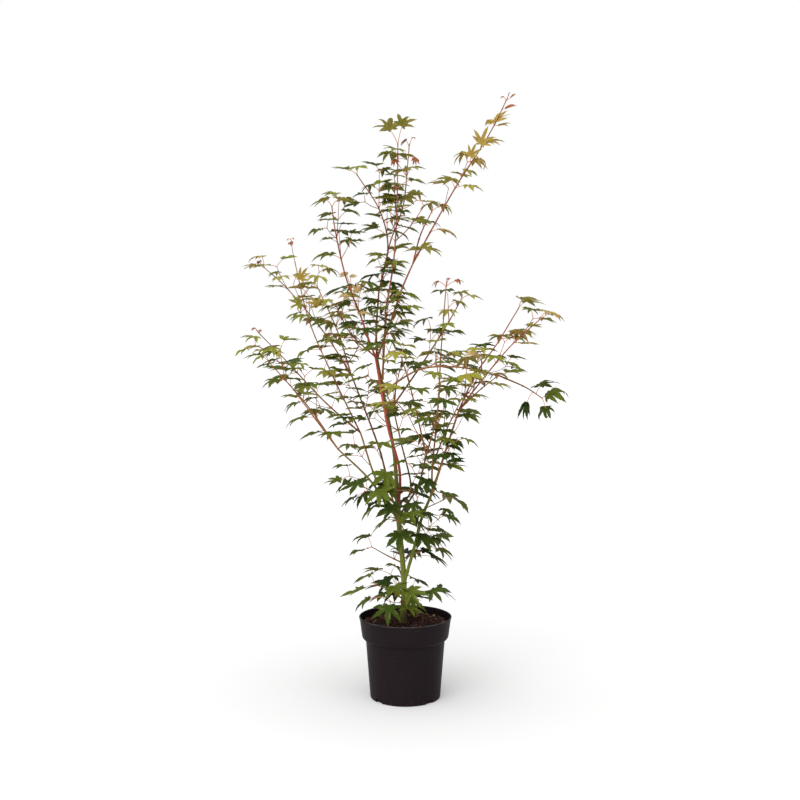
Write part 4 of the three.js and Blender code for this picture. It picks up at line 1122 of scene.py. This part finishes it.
# Each edge place of half a lobe: share of the lobe's length, and half width as a share.
LOBE_EDGE = ((0.44, 0.120), (0.48, 0.109), (0.59, 0.126), (0.63, 0.097), (0.76, 0.079), (0.80, 0.050))
LOBE_RIB = (0.42, 0.66)
LOBE_NOTCH = 0.28
HEEL_REACH = 0.10
HEEL_SHARE = 0.4
HEEL_TURN = 36
NOTCH_LIFT = 0.11
NARROW_LOBE = 0.8
BLADE_THICKNESS = 0.5
BLADE_RISES = (0.0, 0.45)
BLADE_BENDS = (0.25, 1.0)
BLADE_FOLDS = (0.15, 0.55)
BLADE_SEED = 50
LOBE_TURN_SPREAD = 3.5
LOBE_REACHES = (0.90, 1.06)
LOBE_BENDS = (0.7, 1.35)
LOBE_TWIST = 0.32
LOBE_SWAY = 0.10
STALK_RADII = (0.75, 0.55)
STALK_ARCH = 0.07
STALK_HEEL = 1.3
STALK_HEEL_REACH = 0.12
STALK_INTO_BLADE = 1.5
STALK_RINGS = 6
STALK_SIDES = 5
STALK_PINK = (0.500, 0.200, 0.105)
LEAF_GLOSS = 0.08
LEAF_ROUGHNESS = (0.38, 0.55)
TINTS = {
    "deep": ((0.022, 0.040, 0.006), (0.050, 0.074, 0.014), "foliage_low"),
    "dark": ((0.040, 0.064, 0.008), (0.078, 0.100, 0.018), "foliage_low"),
    "green": ((0.078, 0.106, 0.010), (0.120, 0.138, 0.022), "foliage_mid"),
    "leaf": ((0.138, 0.156, 0.014), (0.180, 0.182, 0.030), "foliage_mid"),
    "lime": ((0.215, 0.200, 0.026), (0.260, 0.230, 0.042), "foliage_fresh"),
    "gold": ((0.290, 0.205, 0.042), (0.320, 0.225, 0.060), "foliage_gold"),
    "bronze": ((0.270, 0.085, 0.032), (0.310, 0.115, 0.052), "foliage_gold"),
    "cream": ((0.430, 0.300, 0.130), (0.450, 0.330, 0.160), "foliage_gold"),
}
# How young each tone's leaves are: at the stem's foot, how much more at its tip, and how
# far a spray may differ. A spray takes the tint whose step its youth reaches.
TONE_YOUTH = {"low": (0.12, 0.20, 0.15), "mid": (0.42, 0.34, 0.26), "fresh": (0.46, 0.34, 0.26),
              "gold": (0.80, 0.30, 0.18)}
YOUTH_STEPS = (0.08, 0.26, 0.46, 0.68, 0.96, 1.18)
YOUTH_SEED = 4000
# Masses whose leaves are younger or older than their tone's.
YOUTH_SHIFT = {
    "leaves_upper_left": -0.28, "leaves_upper_left_centre": -0.20, "leaves_left_low_outer": -0.25,
    "leaves_left_low_inner": -0.25, "leaves_left_outer": -0.12, "leaves_right_low": -0.12,
    "leaves_right_inner": -0.12, "leaves_front_right": -0.15, "leaves_left_upper": 0.15,
    "leaves_rear_left_upper": 0.12, "leaves_right_far": 0.15, "leaves_right_outer": 0.08,
}


def blade_template():
    """One blade, flat: for each place its lobe, its share along the lobe, its signed
    share across, and whether it lies on the rim. Then the faces of the upper side, three
    to each half lobe, and of the lower side, one to each half lobe."""
    lobe, along, across, rim = [], [], [], []

    def add(*place):
        for values, value in zip((lobe, along, across, rim), place):
            values.append(value)
        return len(lobe) - 1

    heart = add(3, 0, 0, False)
    ribs = [[add(index, share, 0, False) for share in LOBE_RIB] + [add(index, 1, 0, True)]
            for index in range(len(LOBES))]
    notches = [add(index + 0.5, LOBE_NOTCH, 0, True) for index in range(len(LOBES) - 1)]
    heels = [add(lobe_past, HEEL_REACH, 0, True)
             for lobe_past in (-HEEL_SHARE, len(LOBES) - 1 + HEEL_SHARE)]
    upper, lower = [], []
    for index in range(len(LOBES)):
        for side in (-1, 1):
            edge = [add(index, share, side * width, True) for share, width in LOBE_EDGE]
            outer = index - 1 if side < 0 else index
            root = heels[0] if outer < 0 else heels[1] if outer == len(LOBES) - 1 else notches[outer]
            rib, outer_rib, tip = ribs[index]
            halves = [[heart, root, edge[0], rib], [rib, *edge[:3], outer_rib], [outer_rib, *edge[2:], tip]]
            upper += [face if side < 0 else face[::-1] for face in halves]
            whole = [heart, root, *edge, tip, outer_rib, rib]
            lower.append(whole if side < 0 else whole[::-1])
    for faces in (upper, lower):
        faces.append([heart, heels[1], heels[0]])
    places = (np.array(lobe, float), np.array(along, float), np.array(across, float), np.array(rim))
    return places, upper, lower


BLADE, BLADE_UPPER, BLADE_LOWER = blade_template()


def blades(leaves, chance):
    """All blades at once. A place lies along its lobe's direction and across it. Then the
    half lobes are folded up from the rib, and each lobe sways to one side, twists about its
    rib, rises from the heart and is bent down along a circle to its tip."""
    lobe, along, across, rim = BLADE
    count = len(leaves)
    heart, forward, left, length = (
        np.array([leaf[key] for leaf in leaves]) for key in ("heart", "forward", "left", "length"))
    spread_out = np.array([leaf.get("spread_out", 1.0) for leaf in leaves])
    turns, reaches = np.array(LOBES).T
    turns = turns * spread_out[:, None] + chance.normal(0, LOBE_TURN_SPREAD, (count, len(LOBES)))
    reaches = reaches * chance.uniform(*LOBE_REACHES, (count, len(LOBES)))
    low = np.clip(np.floor(lobe), 0, len(LOBES) - 1).astype(int)
    high = np.clip(np.ceil(lobe), 0, len(LOBES) - 1).astype(int)
    share = (lobe - np.floor(lobe)) * (high != low)
    past = np.where(lobe < 0, -HEEL_TURN, np.where(lobe > len(LOBES) - 1, HEEL_TURN, 0))
    turn = np.radians(turns[:, low] * (1 - share) + turns[:, high] * share + past)
    is_notch = (along == LOBE_NOTCH) | (along == HEEL_REACH)
    reach = np.where(is_notch, 1.0, reaches[:, low])
    width = np.where(spread_out < 1, NARROW_LOBE, 1.0)[:, None]
    x, y = reach * along, np.sqrt(reach) * across * width
    twist = y * chance.normal(0, LOBE_TWIST, (count, len(LOBES)))[:, low]
    y = y + x ** 2 * chance.normal(0, LOBE_SWAY, (count, len(LOBES)))[:, low]
    forwards = x * np.cos(turn) - y * np.sin(turn)
    sideways = x * np.sin(turn) + y * np.cos(turn)
    out = np.hypot(forwards, sideways)
    fold = chance.uniform(*BLADE_FOLDS, count)[:, None]
    own_bend = np.array([leaf.get("bend", 0.0) for leaf in leaves])
    bend = np.where(own_bend > 0, own_bend, chance.uniform(*BLADE_BENDS, count))[:, None]
    lobe_bend = bend * chance.uniform(*LOBE_BENDS, (count, len(LOBES)))[:, low]
    level = np.where(out > 1e-6, np.sin(lobe_bend * out) / lobe_bend / np.maximum(out, 1e-6), 1)
    rise = chance.uniform(*BLADE_RISES, count)[:, None] * out
    folded = fold * (np.abs(reach * across) + NOTCH_LIFT * is_notch)
    sunk = (1 - np.cos(lobe_bend * out)) / lobe_bend
    sheet = np.stack([forwards * level, sideways * level, rise + twist + folded - sunk], -1)
    half = (BLADE_THICKNESS / 2 / length)[:, None, None] * np.array([0, 0, 1.0])
    inner = ~rim
    upper = np.where(inner[None, :, None], sheet + half, sheet)
    lower = (sheet - half)[:, inner]
    shares = np.concatenate([upper, lower], 1) * length[:, None, None]
    axes = np.stack([forward, left, np.cross(forward, left)], 1)
    return heart[:, None] + np.einsum("npk,nkd->npd", shares, axes)


# Each inner place has a twin on the lower side, and the rim's places serve both sides.
inner_places = np.flatnonzero(~BLADE[3])
lower_of = np.arange(len(BLADE[3]))
lower_of[inner_places] = len(BLADE[3]) + np.arange(len(inner_places))
blade_size = len(BLADE[3]) + len(inner_places)


def blade_faces(count):
    """Corner groups of many blades, with faces of equal corner count together, and for
    each face whether it belongs to an upper side, 0, or a lower one, 1."""
    groups, sides = [], []
    whole = [(face, 0) for face in BLADE_UPPER]
    whole += [(lower_of[face[::-1]].tolist(), 1) for face in BLADE_LOWER]
    for corners in sorted({len(face) for face, _ in whole}):
        alike = [(face, side) for face, side in whole if len(face) == corners]
        chosen = np.array([face for face, _ in alike])
        firsts = np.arange(count) * blade_size
        groups.append((chosen[None] + firsts[:, None, None]).reshape(-1, corners))
        sides.append(np.tile([side for _, side in alike], count))
    return groups, np.concatenate(sides)


def leaf_finish(name, colour, roughness):
    """Leaf tissue: one plain tint, a soft waxy gloss and fine puckering between veins."""
    tissue = Finish(name, {"Base Color": colour, "Specular IOR Level": LEAF_GLOSS})
    pucker = tissue.noise(tissue.places(), 420, 3)
    tissue.give("Roughness", roughness + pucker * 0.15)
    tissue.give("Normal", tissue.bump(pucker, 0.35, 0.0006))
    return tissue


# The leaves of one spray, which share a bud or a shoot's end, are dealt the same tint.
dealt = {tint: [] for tint in TINTS}
every_leaf = []
for index, (mass_name, mass) in enumerate(MASSES.items()):
    draw = Draw(YOUTH_SEED + index)
    sprays = {}
    for grown_leaf in grown[mass_name]["leaves"]:
        leaf = held(grown_leaf, 1 if "own" in grown_leaf else BLADE_EASE[mass[TONE]])
        leaf["length"] *= 1 if "tint" in leaf else TRUE_LEAF[mass[TONE]]
        spray = tuple(np.round(leaf["root"], 3))
        if spray not in sprays:
            base, gain, spread = TONE_YOUTH[mass[TONE]]
            youth = base + gain * leaf["share"] + YOUTH_SHIFT.get(mass_name, 0) + draw.spread(spread)
            sprays[spray] = list(TINTS)[int(np.searchsorted(YOUTH_STEPS, youth))]
        leaf["mass"] = mass_name
        dealt[leaf.get("tint", sprays[spray])].append(leaf)
        every_leaf.append(leaf)

for index, (tint, (top, under, slot)) in enumerate(TINTS.items()):
    leaves = dealt[tint]
    if not leaves:
        continue
    places = blades(leaves, np.random.default_rng(BLADE_SEED + index))
    groups, sides = blade_faces(len(leaves))
    finishes = [leaf_finish(f"leaf_{tint}{side}", colour, roughness) for side, colour, roughness in zip(
        ("", "_under"), (top, under), LEAF_ROUGHNESS)]
    blade_piece = make_piece(f"leaves_{tint}", places.reshape(-1, 3), groups, finishes, 28, sides)
    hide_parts(*sorted({leaf["mass"] for leaf in leaves}))

stalks = Bundle()
for leaf in every_leaf:
    root, heart = leaf["root"], leaf["heart"]
    middle = (root + heart) / 2 + UP * STALK_ARCH * np.linalg.norm(heart - root)
    stalk = Line([root, middle, heart + leaf["forward"] * STALK_INTO_BLADE])
    shares = np.linspace(0, 1, STALK_RINGS)
    radius = np.interp(shares, [0, STALK_HEEL_REACH, 1], [STALK_RADII[0] * STALK_HEEL, *STALK_RADII])
    stalks.add(*tube(stalk, shares, np.repeat(radius[:, None], STALK_SIDES, 1)))
stalk_finish = Finish("leaf_stalk", {
    "Base Color": STALK_PINK, "Roughness": 0.5, "Specular IOR Level": 0.12})
stalk_piece = stalks.make("leaf_stalks", stalk_finish)
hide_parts(*MASSES)


# ------------------------------------------------------ floor, light and camera
# A seamless white studio floor under large soft lights. The camera stands level with the
# middle of the plant, a little over two metres away.

FLOOR_SIZE = 400
FLOOR_WHITE = (0.65, 0.65, 0.65)
CAMERA_PLACE = (-0.011, -2.3, 0.748)
CAMERA_PITCH = 3.29
CAMERA_LENS = 50.6
# The backdrop looks white, and sends out this share of white as fill light.
FILL_LIGHT = 0.45
# Each light: the way it comes from, how wide it looks in degrees, and its strength.
LIGHTS = {
    "overhead": ((-0.12, -0.28, 1.0), 90, 3.5),
    "front_left": ((-0.6, -1.4, 0.60), 60, 1.5),
}

floor_mesh = bpy.data.meshes.new("floor")
half_floor = FLOOR_SIZE / 2
floor_mesh.from_pydata(
    [(-half_floor, -half_floor, 0), (half_floor, -half_floor, 0), (half_floor, half_floor, 0),
     (-half_floor, half_floor, 0)], [], [(0, 1, 2, 3)])
floor = bpy.data.objects.new("floor", floor_mesh)
bpy.context.scene.collection.objects.link(floor)
floor_mesh.materials.append(Finish("studio_floor", {
    "Base Color": FLOOR_WHITE, "Roughness": 0.9, "Specular IOR Level": 0.0}).material)
floor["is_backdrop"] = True

for name, (way, width, strength) in LIGHTS.items():
    lamp = bpy.data.lights.new(name, "SUN")
    lamp.angle = math.radians(width)
    lamp.energy = strength
    light = bpy.data.objects.new(name, lamp)
    light.location = way
    light.rotation_euler = (math.atan2(math.hypot(way[0], way[1]), way[2]), 0,
                            math.atan2(way[1], way[0]) + math.pi / 2)
    bpy.context.scene.collection.objects.link(light)

world = bpy.data.worlds.new("studio")
bpy.context.scene.world = world
world.use_nodes = True
backdrop = world.node_tree.nodes["Background"]
rays = world.node_tree.nodes.new("ShaderNodeLightPath")
glow = world.node_tree.nodes.new("ShaderNodeMapRange")
glow.inputs["To Min"].default_value = FILL_LIGHT
world.node_tree.links.new(rays.outputs["Is Camera Ray"], glow.inputs["Value"])
world.node_tree.links.new(glow.outputs["Result"], backdrop.inputs["Strength"])
backdrop.inputs["Color"].default_value = (1, 1, 1, 1)
bpy.context.scene.view_settings.view_transform = "Standard"

lens = bpy.data.cameras.new("camera")
lens.sensor_width = 36
lens.lens = CAMERA_LENS
camera = bpy.data.objects.new("camera", lens)
camera.location = CAMERA_PLACE
camera.rotation_euler = (math.radians(90 - CAMERA_PITCH), 0, 0)
bpy.context.scene.collection.objects.link(camera)
bpy.context.scene.camera = camera

low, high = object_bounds()
